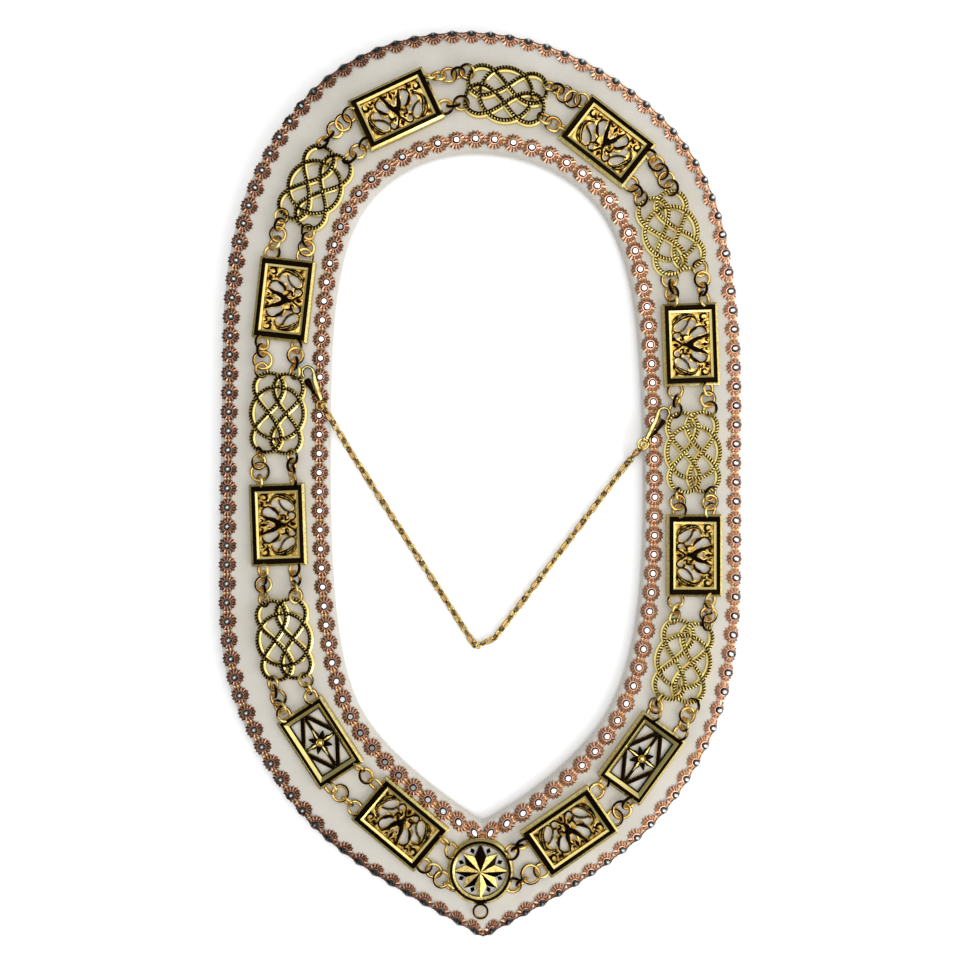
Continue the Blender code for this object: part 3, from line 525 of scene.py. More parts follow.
def frame_shell(size, profile):
    """A mitred frame: each row of the profile is a rectangle drawn in from the ends and sides,
    with small round corners, at its height."""
    rows = np.array(profile, float)[:, None]
    half = np.array(size) / 2 - rows[..., :2]
    soft = np.clip(0.9 - rows[..., :1], 0.12, None)
    angles = np.radians(np.arange(4)[:, None] * 90 + np.linspace(0, 90, 4)).ravel()
    signs = np.repeat([(1, 1), (-1, 1), (-1, -1), (1, -1)], 4, axis=0)
    plan = signs * (half - soft) + soft * np.stack([np.cos(angles), np.sin(angles)], axis=1)
    return ringed(lifted(plan, rows[..., 2]), rows[..., 3])


def outline_distance(plan, line):
    """Signed distance, below zero inside, to a closed line: the least distance to its segments,
    with the sign from how often a ray to the right crosses it."""
    start, end = line[None], np.roll(line, -1, axis=0)[None]
    run, off = end - start, plan[:, None] - start
    share = np.clip((off * run).sum(-1) / (run**2).sum(-1), 0, 1)
    away = np.linalg.norm(off - share[..., None] * run, axis=-1).min(axis=1)
    spans = (start[..., 1] > plan[:, None, 1]) != (end[..., 1] > plan[:, None, 1])
    climb = np.where(spans, run[..., 1], 1)
    crossed = spans & (off[..., 0] < run[..., 0] * off[..., 1] / climb)
    return np.where(crossed.sum(axis=1) % 2 == 1, -away, away)


def pierced_sheet(reach, gaps):
    """A flat sheet on a grid of cells: points near a gap's outline move onto it along the slope
    of their distance from it, cells inside are left out, and a wall and an underside close it.
    Its darkness and warmth come and go in soft patches, 0.5 + 0.5 sin cos."""

    def distance(plan):
        return np.min([outline_distance(plan, gap) for gap in gaps], axis=0)

    counts = [int(round(2 * r / SHEET_CELL)) for r in reach]
    x, y = (np.linspace(-r, r, n + 1) for r, n in zip(reach, counts))
    plan = np.stack(np.meshgrid(x, y), axis=-1).reshape(-1, 2)
    rim = (np.abs(plan) > np.array(reach) - 1e-6).any(axis=1)
    for _ in range(2):
        value = distance(plan)
        slope = np.stack([(distance(plan + step) - value) / 0.02
                          for step in ((0.02, 0), (0, 0.02))], axis=1)
        slope /= np.maximum(np.linalg.norm(slope, axis=1), 0.3)[:, None]
        near = (np.abs(value) < 0.56 * SHEET_CELL) & ~rim
        plan = plan - (near * value)[:, None] * slope
    quads = weave_faces(counts[1] + 1, counts[0] + 1)[:, ::-1]
    quads = quads[(distance(plan)[quads] > -0.12 * SHEET_CELL).all(axis=1)]
    count = len(plan)
    edges = np.stack([quads, np.roll(quads, -1, axis=1)], axis=-1).reshape(-1, 2)
    keys, back = edges[:, 0] * count + edges[:, 1], edges[:, 1] * count + edges[:, 0]
    edges = edges[~np.isin(keys, back)]
    walls = np.concatenate([edges[:, ::-1], edges + count], axis=1)
    points = np.concatenate([lifted(plan, GROUND_HEIGHT), lifted(plan, SHEET_BASE)])
    faces = np.concatenate([quads, quads[:, ::-1] + count, walls])
    used, faces = np.unique(faces, return_inverse=True)
    x, y = points[used, :2].T
    patches = 0.5 + 0.5 * np.sin(0.75 * x + 1.3 * np.sin(0.5 * y)) * np.cos(0.8 * y + 0.4 * x)
    dark = np.where(used < count, 0.3 + 0.4 * patches**2, 0)
    warm = np.where(used < count, 0.7 * (0.35 + patches), 0.1)
    return outward(shell(points[used], faces, dark, warm))


# --- materials ---


class Nodes:
    """A node tree, with calls that add a node and give back its output."""

    def __init__(self, owner):
        owner.use_nodes = True
        self.tree = owner.node_tree

    def feed(self, node, inputs):
        """Link a socket where its value is another node's output, and set it otherwise."""
        for socket, value in inputs.items():
            if isinstance(value, bpy.types.NodeSocket):
                self.tree.links.new(value, node.inputs[socket])
            else:
                node.inputs[socket].default_value = value

    def add(self, kind, inputs, output=0, **settings):
        """Add a node of a kind, with its settings and inputs."""
        node = self.tree.nodes.new("ShaderNode" + kind)
        for key, value in settings.items():
            setattr(node, key, value)
        self.feed(node, inputs)
        return node.outputs[output]

    def place(self, kind="Object"):
        return self.add("TexCoord", {}, kind)

    def axis(self, vector, name):
        return self.add("SeparateXYZ", {0: vector}, name)

    def finish(self, name):
        """How dark (X), mostly painted shade, or how warm (Y) a piece's colouring is."""
        return self.axis(self.add("Attribute", {}, "Vector", attribute_name="finish"), name)

    def math(self, operation, *values, **settings):
        return self.add("Math", dict(enumerate(values)), operation=operation, **settings)

    def ramp(self, value, low, high, start=0, end=1):
        """Bring a value from low to high to one from start to end, held at both."""
        return self.add("MapRange", dict(enumerate((value, low, high, start, end))))

    def mix(self, share, *colours):
        """Blend two colours, each an output or red, green and blue."""
        first, second = (colour if isinstance(colour, bpy.types.NodeSocket) else (*colour, 1)
                         for colour in colours)
        return self.add("Mix", {0: share, 6: first, 7: second}, 2, data_type="RGBA")

    def noise(self, place, scale, detail, roughness=0.55):
        return self.add("TexNoise", {"Vector": place, "Scale": scale, "Detail": detail,
                                     "Roughness": roughness}, "Fac")

    def bump(self, height, strength, distance, **under):
        """A bumped normal, over the Normal of another bump where it is given."""
        return self.add("Bump", {"Height": height, "Strength": strength, "Distance": distance,
                                 **under}, "Normal")


def new_material(name):
    """A material's nodes and its shader."""
    nodes = Nodes(bpy.data.materials.new(name))
    return nodes, nodes.tree.nodes["Principled BSDF"]


def make_metal(name, bright, warm, dark, deepen, rough, grain):
    """Polished plating: bright or warm metal by the second value of its colouring, dark by its
    first, which is mostly painted dark reflection and painted shade with some tarnish, both broken
    up by noise, with fine casting grain in the bump. Towards the dark the metal grows warmer by the
    share deepen."""
    nodes, shader = new_material(name)
    place = nodes.place()
    broad, fine = nodes.noise(place, 90, 3), nodes.noise(place, 900, 4, 0.65)
    # The attribute's painted shade and tarnish, broken up by fine noise.
    shade_and_wear = nodes.math("ADD", nodes.finish("X"), nodes.ramp(fine, 0.3, 0.7, -0.16, 0.16))
    share = nodes.ramp(shade_and_wear, 0.18, 0.62)
    warmth = nodes.math("ADD", nodes.finish("Y"), nodes.ramp(broad, 0.35, 0.65, -0.12, 0.2))
    warmth = nodes.math("MULTIPLY_ADD", share, deepen, warmth, use_clamp=True)
    nodes.feed(shader, {
        "Base Color": nodes.mix(share, nodes.mix(warmth, bright, warm), dark),
        "Metallic": 1, "Roughness": nodes.ramp(broad, 0.3, 0.7, *rough),
        "Normal": nodes.bump(fine, 0.25, grain)})


def make_stones():
    """Tables painted white as a highlight and facets painted near black as a dark reflection, under
    a thin gloss.
    """
    nodes, shader = new_material("collar_stones")
    dark = nodes.finish("X")
    # Painted highlight: the white table is half diffuse, so it stays bright from every side.
    nodes.feed(shader, {
        "Base Color": nodes.mix(nodes.ramp(dark, 0.1, 0.7), (0.96, 0.97, 1), (0.03, 0.033, 0.028)),
        "Metallic": nodes.ramp(dark, 0.1, 0.7, 0.5, 1),
        "Roughness": 0.08, "Coat Weight": 0.15, "Coat Roughness": 0.03})


def make_cloth(colour):
    """A fine twill: two sets of waves set square, the greater of both at each place, over small
    puckers and broader creases, in a cloudy and slightly flecked tone."""
    nodes, shader = new_material("collar_cloth")
    place, colour = nodes.place(), np.array(colour)
    tone = nodes.mix(nodes.ramp(nodes.noise(place, 22, 4), 0.3, 0.7),
                     colour * (0.92, 0.91, 0.87), colour * (1.04, 1.04, 1.045))
    tone = nodes.mix(nodes.ramp(nodes.noise(place, 420, 3), 0.35, 0.7, 0, 0.25), tone,
                     colour * (0.88, 0.86, 0.85))
    waves = []
    for turn in (38, -52):
        thread = nodes.add("Mapping", {"Vector": place, "Rotation": (0, 0, radians(turn))})
        waves.append(nodes.add("TexWave", {"Vector": thread, "Scale": 420, "Distortion": 0.4,
                                           "Detail": 1}, "Fac"))
    weave = nodes.bump(nodes.math("MAXIMUM", *waves), 0.35, 0.00012)
    puckers = nodes.bump(nodes.noise(place, 130, 2), 0.4, 0.0006, Normal=weave)
    creases = nodes.bump(nodes.noise(place, 42, 1.5), 0.6, 0.0022, Normal=puckers)
    nodes.feed(shader, {"Base Color": tone, "Roughness": 0.86, "Specular IOR Level": 0.25,
                        "Sheen Weight": 0.35, "Sheen Roughness": 0.5, "Normal": creases})


def finish_named(name):
    """One of the collar's finishes; the first call makes them all."""
    if name not in bpy.data.materials:
        colours = bpy.context.scene.collar_colours
        gold = (colours.gold, colours.amber, colours.shade_and_tarnish, 0.6)
        rose = (colours.rose, colours.amber, (0.1, 0.04, 0.025), 0)
        make_metal("collar_gold", *gold, (0.16, 0.34), 0.00005)
        make_metal("collar_links", *gold, (0.2, 0.36), 0.00003)
        make_metal("collar_rose_wire", *rose, (0.24, 0.4), 0.00003)
        make_stones()
        make_cloth(colours.cloth)
    return bpy.data.materials[name]


def add_object(name, data):
    """A new object of the scene, at the origin."""
    piece = bpy.data.objects.new(name, data)
    bpy.context.scene.collection.objects.link(piece)
    return piece


def build(name, one, material, body="collar", replaces=(), crease=38):
    """Make a piece from a shell in millimetres and hang it on its body."""
    keep = np.ones(one.faces.shape, bool)
    keep[:, 3] = one.faces[:, 3] != one.faces[:, 2]
    corners, sizes = one.faces[keep], keep.sum(axis=1)
    mesh = bpy.data.meshes.new(name)
    mesh.vertices.add(len(one.points))
    mesh.vertices.foreach_set("co", (one.points * MM).astype(np.float32).ravel())
    mesh.loops.add(len(corners))
    mesh.loops.foreach_set("vertex_index", corners.astype(np.int32))
    mesh.polygons.add(len(sizes))
    mesh.polygons.foreach_set("loop_start", (np.cumsum(sizes) - sizes).astype(np.int32))
    mesh.update(calc_edges=True)
    mesh.validate()
    marks = mesh.attributes.new("finish", "FLOAT_VECTOR", "POINT")
    marks.data.foreach_set("vector", one.finish.astype(np.float32).ravel())
    mesh.shade_smooth()
    if crease:
        mesh.set_sharp_from_angle(angle=radians(crease))
    mesh.materials.append(finish_named(material))
    piece = add_object(name, mesh)
    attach(piece, body)
    if replaces:
        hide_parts(*replaces)
    return piece


# --- band and trims ---


def band_stations(count):
    """The band at many places: inner points, outer points, and at each edge the direction across
    it outwards, stretched by a mitre."""
    knots = np.linspace(0, 1, len(SECTIONS))
    places = np.arange(count) / count
    values = spline(knots, SECTIONS, places)
    ahead = spline(knots, SECTIONS, places + 1e-4) - values
    inner, outer = values[:, :2], values[:, 2:]
    across = unit(outer - inner)
    stretched = []
    for run in (unit(ahead[:, :2]), unit(ahead[:, 2:])):
        mitre = 1 / np.abs(run[:, 0] * across[:, 1] - run[:, 1] * across[:, 0])
        stretched.append(across * mitre[:, None])
    return inner, outer, *stretched


def edge_route(neck):
    """A fine closed route along the neck edge or the cloth's outer edge: places along it, the
    points, and the direction into the cloth, stretched at mitres."""
    inner, outer, inner_across, outer_across = band_stations(ROUTE_STATIONS)
    points = inner if neck else outer - outer_across * TRIM_SPREAD
    into = inner_across if neck else -outer_across
    points, into = (np.concatenate([part, part[:1]]) for part in (points, into))
    return travelled(points), points, into


def flower(petals):
    """A wire flower in the XY plane: rays of looped wire, as a fan that rises and falls once for
    each petal between its middle and its deeply scalloped rim, closed by a flat back."""
    crest = np.tile((1, 0), petals)
    valley, more = FLOWER_RINGS[..., :1], FLOWER_RINGS[..., 1:]
    reach, height, dark = np.moveaxis(valley + more * crest, 1, 0)
    rings = lifted(circle(petals * 2) * reach[..., None], height)
    return capped(rings, [(0, 0, 0.9), (0, 0, -0.15)], np.append(dark, (1.2, 1)), 0.15)


def stone_shell(radius, lift, shaded):
    """A cut stone: a flat table painted white as a highlight, eight crown facets painted dark as a
    dark reflection down to the girdle, and a pointed back. Shaded ones, a painted shaded copy, have
    a smaller table and blacker facets."""
    rings = [lifted(out * radius * reach, z) for out, reach, z in (
        (circle(8, pi / 8), 0.24 if shaded else 0.54, 1.35), (circle(8), 0.68, 1.1),
        (circle(8), 1, 0.35))]
    dark = np.repeat((0.32, 1, 1, 0, 1) if shaded else (0, 0.6, 1, 0, 1),
                     (8, 8, 8, 1, 1))
    return placed(capped(np.stack(rings), [(0, 0, 1.39), (0, 0, -0.5)], dark), z=lift)


def cup_shell(radius, lift):
    """The stone's cup: a ring of wire with a claw bump at each corner."""
    out = circle(12)
    claw = np.tile((0.16, 0, 0), 4)
    return swept(lifted(out * radius, lift + claw), round_profile(0.42, 4), True,
                 np.array([0.7, 0.2, 0.5, 0.8]), side=out)


def wrapped(one, centres, route, roll, lean):
    """Bend copies of a flat shell onto a trim's path. Each point's x runs along the edge from its
    copy's centre. Its y runs across, from its copy's lean: away from the edge on the flat, or
    with a roll, where it is above zero, round the edge as an arc, angle = y / roll. Its z stands
    off. Painted shade darkens the left side and the front and lightens the right side, and a
    painted dark reflection darkens whatever lies round the edge."""
    places, points, into = route
    along = (centres[:, None] + one.points[:, 0]).ravel() % places[-1]
    base, inward = read(along, places, points), read(along, places, into)
    y = (lean[:, None] + one.points[:, 1]).ravel()
    z = np.tile(one.points[:, 2], len(centres))
    dark = np.tile(one.finish[:, 0], len(centres))
    if roll:
        angle = np.maximum(y, 0) / roll
        away = EDGE_ROLL + np.maximum(-y, 0) - (roll + z) * np.sin(angle)
        height = EDGE_ROLL + (roll + z) * np.cos(angle)
        # Painted shade on the left side and the front, and a painted dark reflection round the
        # edge.
        front = np.interp(-base[:, 1], (150, 210), (0, 1.8))
        left = np.clip(-base[:, 0] / 60 + front, -1, 1)
        dark = dark + (0.55 + 0.3 * left) * angle**2 + 0.06 * np.maximum(left, 0)
    else:
        away, height = y, TRIM_BASE + 0.55 - 0.022 * (y - TRIM_LINE)**2 + z
    # Painted light and shade: the left side darker, the right lighter.
    dark = dark - np.interp(base[:, 0], (-80, 80), (-0.1, 0.1))
    bent = np.concatenate([base + inward * away[:, None], height[:, None]], axis=1)
    many = copies(one, bent.reshape(len(centres), -1, 3))
    many.finish[:, 0] = np.clip(dark, 0, 1)
    return many


def make_trim(edge, pitch, line_place, roll):
    """Sew flowers, their bridges, cups and stones along one edge. On the outer edge they lie
    further in along the left side, and a little along the right; their stones there are the
    painted shaded copy. Beside the neck a painted shade dulls the stones of the left side towards
    both ends."""
    route = edge_route(edge == "inner")
    places, points, into = route
    run = travelled(points + into * line_place)
    count = int(round(run[-1] / (pitch / MM)))
    centres = np.interp((np.arange(count) + 0.5) * run[-1] / count, run, places)
    lean = np.full(count, line_place, float)
    if roll:
        lean = np.interp(read(centres, places, points)[:, 0], *OUTER_LEAN)
    sizes = bpy.context.scene.collar_sizes
    radius = sizes.stone_width / MM / 2
    bridge = ring_shell(0.8, 0.42, 6, 3, dark=0.3)
    rose = [flower(sizes.petals), cup_shell(radius + 0.15, 1.2)]
    rose += [placed(bridge, x=5.7, y=y, z=0.45) for y in (-0.95, 0.95)]
    build(edge + "_trim_flowers", wrapped(merge(rose), centres, route, roll, lean),
          "collar_rose_wire", replaces=(edge + "_trim",))
    stones = wrapped(stone_shell(radius, 1, roll > 0), centres, route, roll, lean)
    if not roll:
        # Painted shade on the neck-side stones of the left side, towards both ends.
        x, y = stones.points[:, 0], np.abs(stones.points[:, 1])
        stones.finish[:, 0] += 0.5 * np.clip(-x / 40, 0, 1) * np.clip((y - 110) / 40, 0, 1)
    build(edge + "_trim_stones", stones, "collar_stones", replaces=(edge + "_trim",),
          crease=12)


def bulge(plan):
    """How far the padding lifts the cloth into the backs of the open plates: for each plate its
    height times 1 - u^8 along and 1 - v^8 across its field."""
    rise = np.zeros(len(plan))
    for plate in PLATES:
        half_x, half_y, height = BULGES.get(plate.kind, (1, 1, 0))
        x, y = turn_axes(plate.turn)[:2, :2] @ (plan - (plate.x, plate.y)).T
        share = np.clip(1 - (x / half_x)**8, 0, 1) * np.clip(1 - (y / half_y)**8, 0, 1)
        rise = np.maximum(rise, height * share)
    return rise


def make_band(swell):
    """Loft the padded band: half an oval up each edge and straight rows across its top and its
    underside, and let cloth fill out over its padding."""
    inner, outer, inner_across, outer_across = band_stations(BAND_STATIONS)
    bow = np.radians(np.linspace(-90, 90, 9))

    def edge(points, into, reach):
        plan = points[:, None] + into[:, None] * (reach * (1 - np.cos(bow)))[:, None]
        return lifted(plan, EDGE_ROLL + EDGE_ROLL * np.sin(bow))

    first = edge(inner, inner_across, NECK_REACH)
    last = edge(outer - outer_across * TRIM_SPREAD, -outer_across, EDGE_ROLL)[:, ::-1]
    share = (np.arange(1, 17) / 17)[:, None]
    top = first[:, -1:] * (1 - share) + last[:, :1] * share
    low = last[:, -1:] * (1 - share) + first[:, :1] * share
    rings = np.concatenate([first, top, last, low], axis=1)
    points = rings.reshape(-1, 3)
    points[:, 2] += bulge(points[:, :2]) * (points[:, 2] > 0.95 * BAND_TOP)
    band = build("band_cloth", ringed(rings), "collar_cloth", replaces=("band",),
                 crease=0)
    fill_padding(band, swell)


def fill_padding(band, swell):
    """Blow the cloth up a little with Blender's cloth solver, then cap how far a point moved."""
    scene = bpy.context.scene
    start = np.empty(len(band.data.vertices) * 3, np.float32)
    moved = np.empty_like(start)
    band.data.vertices.foreach_get("co", start)
    start = start.reshape(-1, 3)
    held = band.vertex_groups.new(name="sewn")
    held.add(np.nonzero(start[:, 2] < SEWN_HEIGHT * MM)[0].tolist(), 1, "REPLACE")
    cloth = band.modifiers.new("padding", "CLOTH")
    cloth.settings.effector_weights.gravity = 0
    for key, value in PADDING.items():
        setattr(cloth.settings, key, value)
    for count in range(1, PADDING_FRAMES + 1):
        scene.frame_set(count)
    graph = bpy.context.evaluated_depsgraph_get()
    band.evaluated_get(graph).data.vertices.foreach_get("co", moved)
    band.modifiers.remove(cloth)
    band.vertex_groups.remove(held)
    scene.frame_set(1)
    shift = moved.reshape(-1, 3) - start
    shift *= swell / np.maximum(np.linalg.norm(shift, axis=1)[:, None], swell)
    end = start + shift
    end[:, 2] = np.clip(end[:, 2], 0, (BAND_TOP + 0.2 + bulge(start[:, :2] / MM)) * MM)
    band.data.vertices.foreach_set("co", end.ravel())
    band.data.update()


# --- plates ---


def knot_strand(points, crossings, first_over, neck, angles=None):
    """One woven strand: a ridge painted dark as a dark reflection, cut across by lighter notches,
    on a bright and nearly flat foot, carried round its loop. One flank of the ridge is painted in
    shade, and the foot is painted a little darker, as shade, where the strand passes under. Its
    height is cos(pi t), where t goes up by one from crossing to crossing, so it passes over and
    under by turns. Its foot spreads towards the neck."""
    points = np.asarray(points, float)
    fine, curve, length = even_curve(points, 0.25, True)
    if angles is None:
        rough = travelled(np.concatenate([points, points[:1]]))
        guess = rough[crossings] / rough[-1] * length
        off = np.abs((fine[None] - guess[:, None] + length / 2) % length - length / 2)
        near = np.linalg.norm(curve[None] - points[crossings][:, None], axis=2) + 0.2 * off
        marks = fine[np.argmin(near, axis=1)]
    else:
        marks = np.asarray(angles) / 360 * length
    notches = int(round(length / NOTCH_PITCH))
    places = ((np.arange(notches)[:, None] + NOTCH_STEPS) * length / notches).ravel()
    ridge = np.tile((1, 1, 0, 0), notches)
    flat = 0 * ridge
    line = read(places, np.append(fine, length), np.concatenate([curve, curve[:1]]))
    knots = np.concatenate([marks - length, marks, marks + length])
    level = np.cos(pi * (np.interp(places, knots, np.arange(len(knots))) + (not first_over)))
    crown = KNOT_CROWN + KNOT_DIP * level
    heading = headings(line, True)
    halves = []
    for sign in (1, -1):
        foot = KNOT_FOOT + KNOT_SPREAD * np.maximum(sign * heading[:, 1] * neck, 0)
        halves.append(np.stack([foot, foot - 0.1, 1.1 + flat, 0.86 + 0.14 * ridge,
                                0.5 + 0.24 * ridge], axis=1))
    away = np.concatenate([halves[0], -halves[1][:, ::-1]], axis=1)
    rise = np.stack([flat, crown - 2.8, crown - 2.4, crown - 0.75 + 0.3 * ridge,
                     crown - 0.65 + 0.65 * ridge], axis=1)
    rise = np.concatenate([rise, rise[:, ::-1]], axis=1)
    outer = np.sign(line[:, 1]) if angles is None else 1 + flat
    # Painted light and shade: dark ridge, lighter notches, and one flank shaded.
    bright, shaded = 0.4 + 0.6 * ridge, 0.66 + 0.4 * ridge
    right, left = np.where(outer > 0, (bright, shaded), (shaded, bright))
    # Painted shade on the foot where the strand passes under.
    dip = 0.06 - 0.06 * level
    dark = np.stack([dip, dip, dip, right, right, left, left, dip, dip, dip], axis=1)
    one = swept(lifted(line, 0), np.stack([away, rise], axis=2), True, dark)
    slant = (away * 0.4 * (rise > 3.3))[..., None] * lifted(heading, 0)[:, None]
    return one._replace(points=one.points + slant.reshape(-1, 3))


def knot_shell():
    """Two loops, one the mirror of the other, woven through a ring."""
    left = knot_strand(KNOT_LOOP, KNOT_LOOP_CROSSINGS, True, 1)
    right = placed(knot_strand(KNOT_LOOP, KNOT_LOOP_CROSSINGS, False, -1), flip_x=-1)
    ring = knot_strand(KNOT_RING * circle(24)[:, :2], None, True, 1, KNOT_RING_CROSSINGS)
    return placed(merge([left, right, ring]), turn=-90)


def filigree_shell():
    """The framed plate: a frame whose top is painted black as a dark reflection, pierced ground,
    dark scrolls, scrolls with a painted highlight on their crest, and bright leaves.
    """
    reach = [size / 2 - inset for size, inset in zip(FILIGREE_SIZE, PANEL_INSET)]
    gaps = [even_curve(gap, 0.6, True)[1] for gap in FILIGREE_GAPS]
    gaps += [gap * (-1, 1) for gap in gaps] + [even_curve(MIDDLE_GAP, 0.4, True)[1]]
    shells = [frame_shell(FILIGREE_SIZE, FILIGREE_FRAME), pierced_sheet(reach, gaps)]
    for scrolls, finish in ((SCROLLS, BLACK), (LIT_CREST_SCROLLS, LIT_CREST), (BRIGHT_LEAVES, BRIGHT)):
        for scroll in scrolls:
            one = relief(*scroll, finish=finish)
            shells += [one, placed(one, flip_x=-1)]
    return merge(shells + [relief(*scroll) for scroll in MIDDLE_SCROLLS])


def bar_shell(start, end, width, top=3.4):
    """A straight bar with drafted sides and a milled top."""
    start, end = np.array(start, float), np.array(end, float)
    count = int(np.linalg.norm(end - start) / 0.6)
    milled = (np.arange(count) % 2)[:, None] * np.array([0, 0, 1, 1, 0, 0])
    away = width / 2 * np.array([1, 0.86, 0.62, -0.62, -0.86, -1])
    rise = np.array([0, top - 0.3, top - 0.12, top - 0.12, top - 0.3, 0]) + 0.12 * milled
    # The top is painted darker as a dark reflection, each raised milled step darker still.
    return swept(lifted(np.linspace(start, end, count), 0),
                 np.stack([np.broadcast_to(away, rise.shape), rise], axis=2),
                 shade_and_tarnish=np.array([0, 0.5, 0.7, 0.7, 0.5, 0]) + 0.3 * milled)


def rosette_shell():
    """The framed plate with a lozenge, a cross and a rosette of four long and four short petals."""
    shells = [frame_shell(ROSETTE_SIZE, ROSETTE_FRAME)] + [bar_shell(*bar) for bar in ROSETTE_BARS]
    long_petal, short_petal = (relief(*petal) for petal in ROSETTE_PETALS)
    for turn in (0, 90, 180, 270):
        shells += [placed(long_petal, turn=turn), placed(short_petal, turn=turn + 45)]
    shells += [placed(ring_shell(2.3, 0.5, 20, 6, dark=1), z=4.3),
               placed(dome_shell(1.6, 1.2, dark=0.1), z=4.4)]
    return merge(shells)


def dome_shell(radius, height, dark=1):
    """A round boss: rings at radius cos t and height sin t, closed at its pole and back."""
    tilt = np.radians([-20, 0, 25, 50, 72])[:, None]
    rings = lifted(circle(14) * radius * np.cos(tilt)[..., None], height * np.sin(tilt))
    # Darker towards the pole, a painted dark reflection.
    finish = np.append(np.repeat((0, 0.1, 0.5, 0.9, 1), 14), (0, 1))
    return capped(rings, [(0, 0, -0.35 * height), (0, 0, height)], dark * finish)


def star_shell():
    """Eight ridged points: each has a raised ridge line between two facets. Painted light and
    shade: a facet that faces outwards over the collar's edge is dark, any other is gold."""
    faces = [(0, 1, 2, 2), (3, 5, 4, 4), (0, 3, 4, 1), (1, 4, 5, 2), (2, 5, 3, 0)]
    shells = []
    for k in range(STAR_POINTS):
        reach = STAR_REACH * (1 if k % 2 == 0 else 0.86)
        for sign in (1, -1):
            ridge, edge = (2 * pi * turn / STAR_POINTS for turn in (k, k + sign / 2))
            top = np.array([(0, 0, 5.4), (reach * cos(ridge), reach * sin(ridge), 3),
                            (STAR_VALLEY * cos(edge), STAR_VALLEY * sin(edge), 3.1)])
            faces_out = sign * cos(ridge) > 0.05 or (abs(cos(ridge)) < 0.05 and sin(ridge) < 0)
            finish = (0.85, 0) if faces_out else (0.34, 0.12)
            points = np.concatenate([top, lifted(top, 0.2)])
            shells.append(outward(shell(points, faces, *finish)))
    return merge(shells)


def medallion_shell():
    """A turned ring round a compass star, with the ring that a jewel would hang on."""
    drawn_in, height, dark = np.array(MEDALLION_RIM).T
    plan = circle(96)[:, None] * (MEDALLION_RADIUS - drawn_in)[:, None]
    rim = ringed(lifted(plan, height), dark)
    radius, wire, level = JEWEL_RING
    jewel = placed(ring_shell(radius, wire, 28, 8, dark=1.8), y=MEDALLION_RADIUS + radius - 0.4,
                   z=level - MEDALLION_BASE)
    diamond = lifted(circle(4) * (1.5, 1.9, 0), 1.2)
    stud = capped(diamond[None], [(0, 0, 2.2), (0, 0, 0.2)], 0.95)
    studs = [placed(placed(stud, y=12.4), turn=45 * k + 22.5) for k in range(STAR_POINTS)]
    return merge([rim, star_shell(), jewel] + studs)


# --- rings, chain and clasps ---


def attachment(plate, end, side):
    """Where a rail meets a plate: end along local X and side along local Y."""
    spot = np.array([end * RAIL_ENDS[plate.kind], side * RAIL_SPREAD])
    return spot @ turn_axes(plate.turn)[:2, :2] + (plate.x, plate.y)


def ring_axes(heading, tilt, roll):
    """Axes of a ring that lies along a heading, tipped about it and then nodded, all in
    degrees."""
    along, side, up = turn_axes(heading)
    tilt, roll = radians(tilt), radians(roll)
    tipped = side * cos(tilt) + up * sin(tilt)
    normal = up * cos(tilt) - side * sin(tilt)
    return np.array([along * cos(roll) + normal * sin(roll), tipped,
                     normal * cos(roll) - along * sin(roll)])


def scatter(seed):
    """Eight numbers from -1 to 1 that look random and depend on the seed alone: the fraction of a
    large multiple of a sine, doubled, less one."""
    large = np.sin(seed * 12.9898 + np.arange(8) * 78.233) * 43758.5453
    return (large - np.floor(large)) * 2 - 1


def rail_shell(first, second, side, row, seed):
    """Rings in a row from one plate to the next, each through its neighbours: their middles lie
    at the running sum of their widths, and each strays a little to a side and in its turn."""
    start, end = attachment(first, 1, side), attachment(second, -1, side)
    run = end - start
    length, heading = np.hypot(*run), np.degrees(np.arctan2(run[1], run[0]))
    widths = np.array([RING_SORTS[letter][0] for letter in row])
    spots = np.cumsum(widths) * 2 - widths
    spots = (spots - spots[0]) / (spots[-1] - spots[0])
    first_in, last_in = widths[0] - RING_HOLD, widths[-1] - RING_HOLD
    spots = (first_in + (length - first_in - last_in) * spots) / length
    wander, shells = scatter(seed), []
    for k, letter in enumerate(row):
        radius, tilt = RING_SORTS[letter]
        x, y = start + run * spots[k] + turn_axes(heading)[1, :2] * wander[k] * RING_STRAY
        height = PLATE_BASE + 0.7 + max(radius * sin(radians(tilt)), 0.9 + 0.7 * (k % 2))
        sign = 1 if wander[(k + 3) % 8] > 0 else -1
        axes = ring_axes(heading + RING_TURN * wander[(k + 1) % 8], tilt * sign,
                         RING_NOD * wander[(k + 2) % 8])
        ring = ring_shell(radius, RING_WIRE, phase=9 * wander[(k + 4) % 8])
        shells.append(spread(ring, axes[None], np.array([(x, y, height)])))
    return merge(shells)


def link_shell(length, width, wire, dark, warm):
    """An oval chain link: a circle of wire drawn out by straight sides."""
    out = circle(16, pi / 16)
    line = out * (width / 2 - wire)
    line[:, 0] += np.sign(out[:, 0]) * (length - width) / 2
    profile = round_profile(wire, 6)
    crest = np.abs(profile[:, 1]) / wire
    # Painted dark reflection on the crest of each link.
    return swept(line, profile, True, np.clip(dark + 0.3 * crest, 0, 1), warm, side=out)


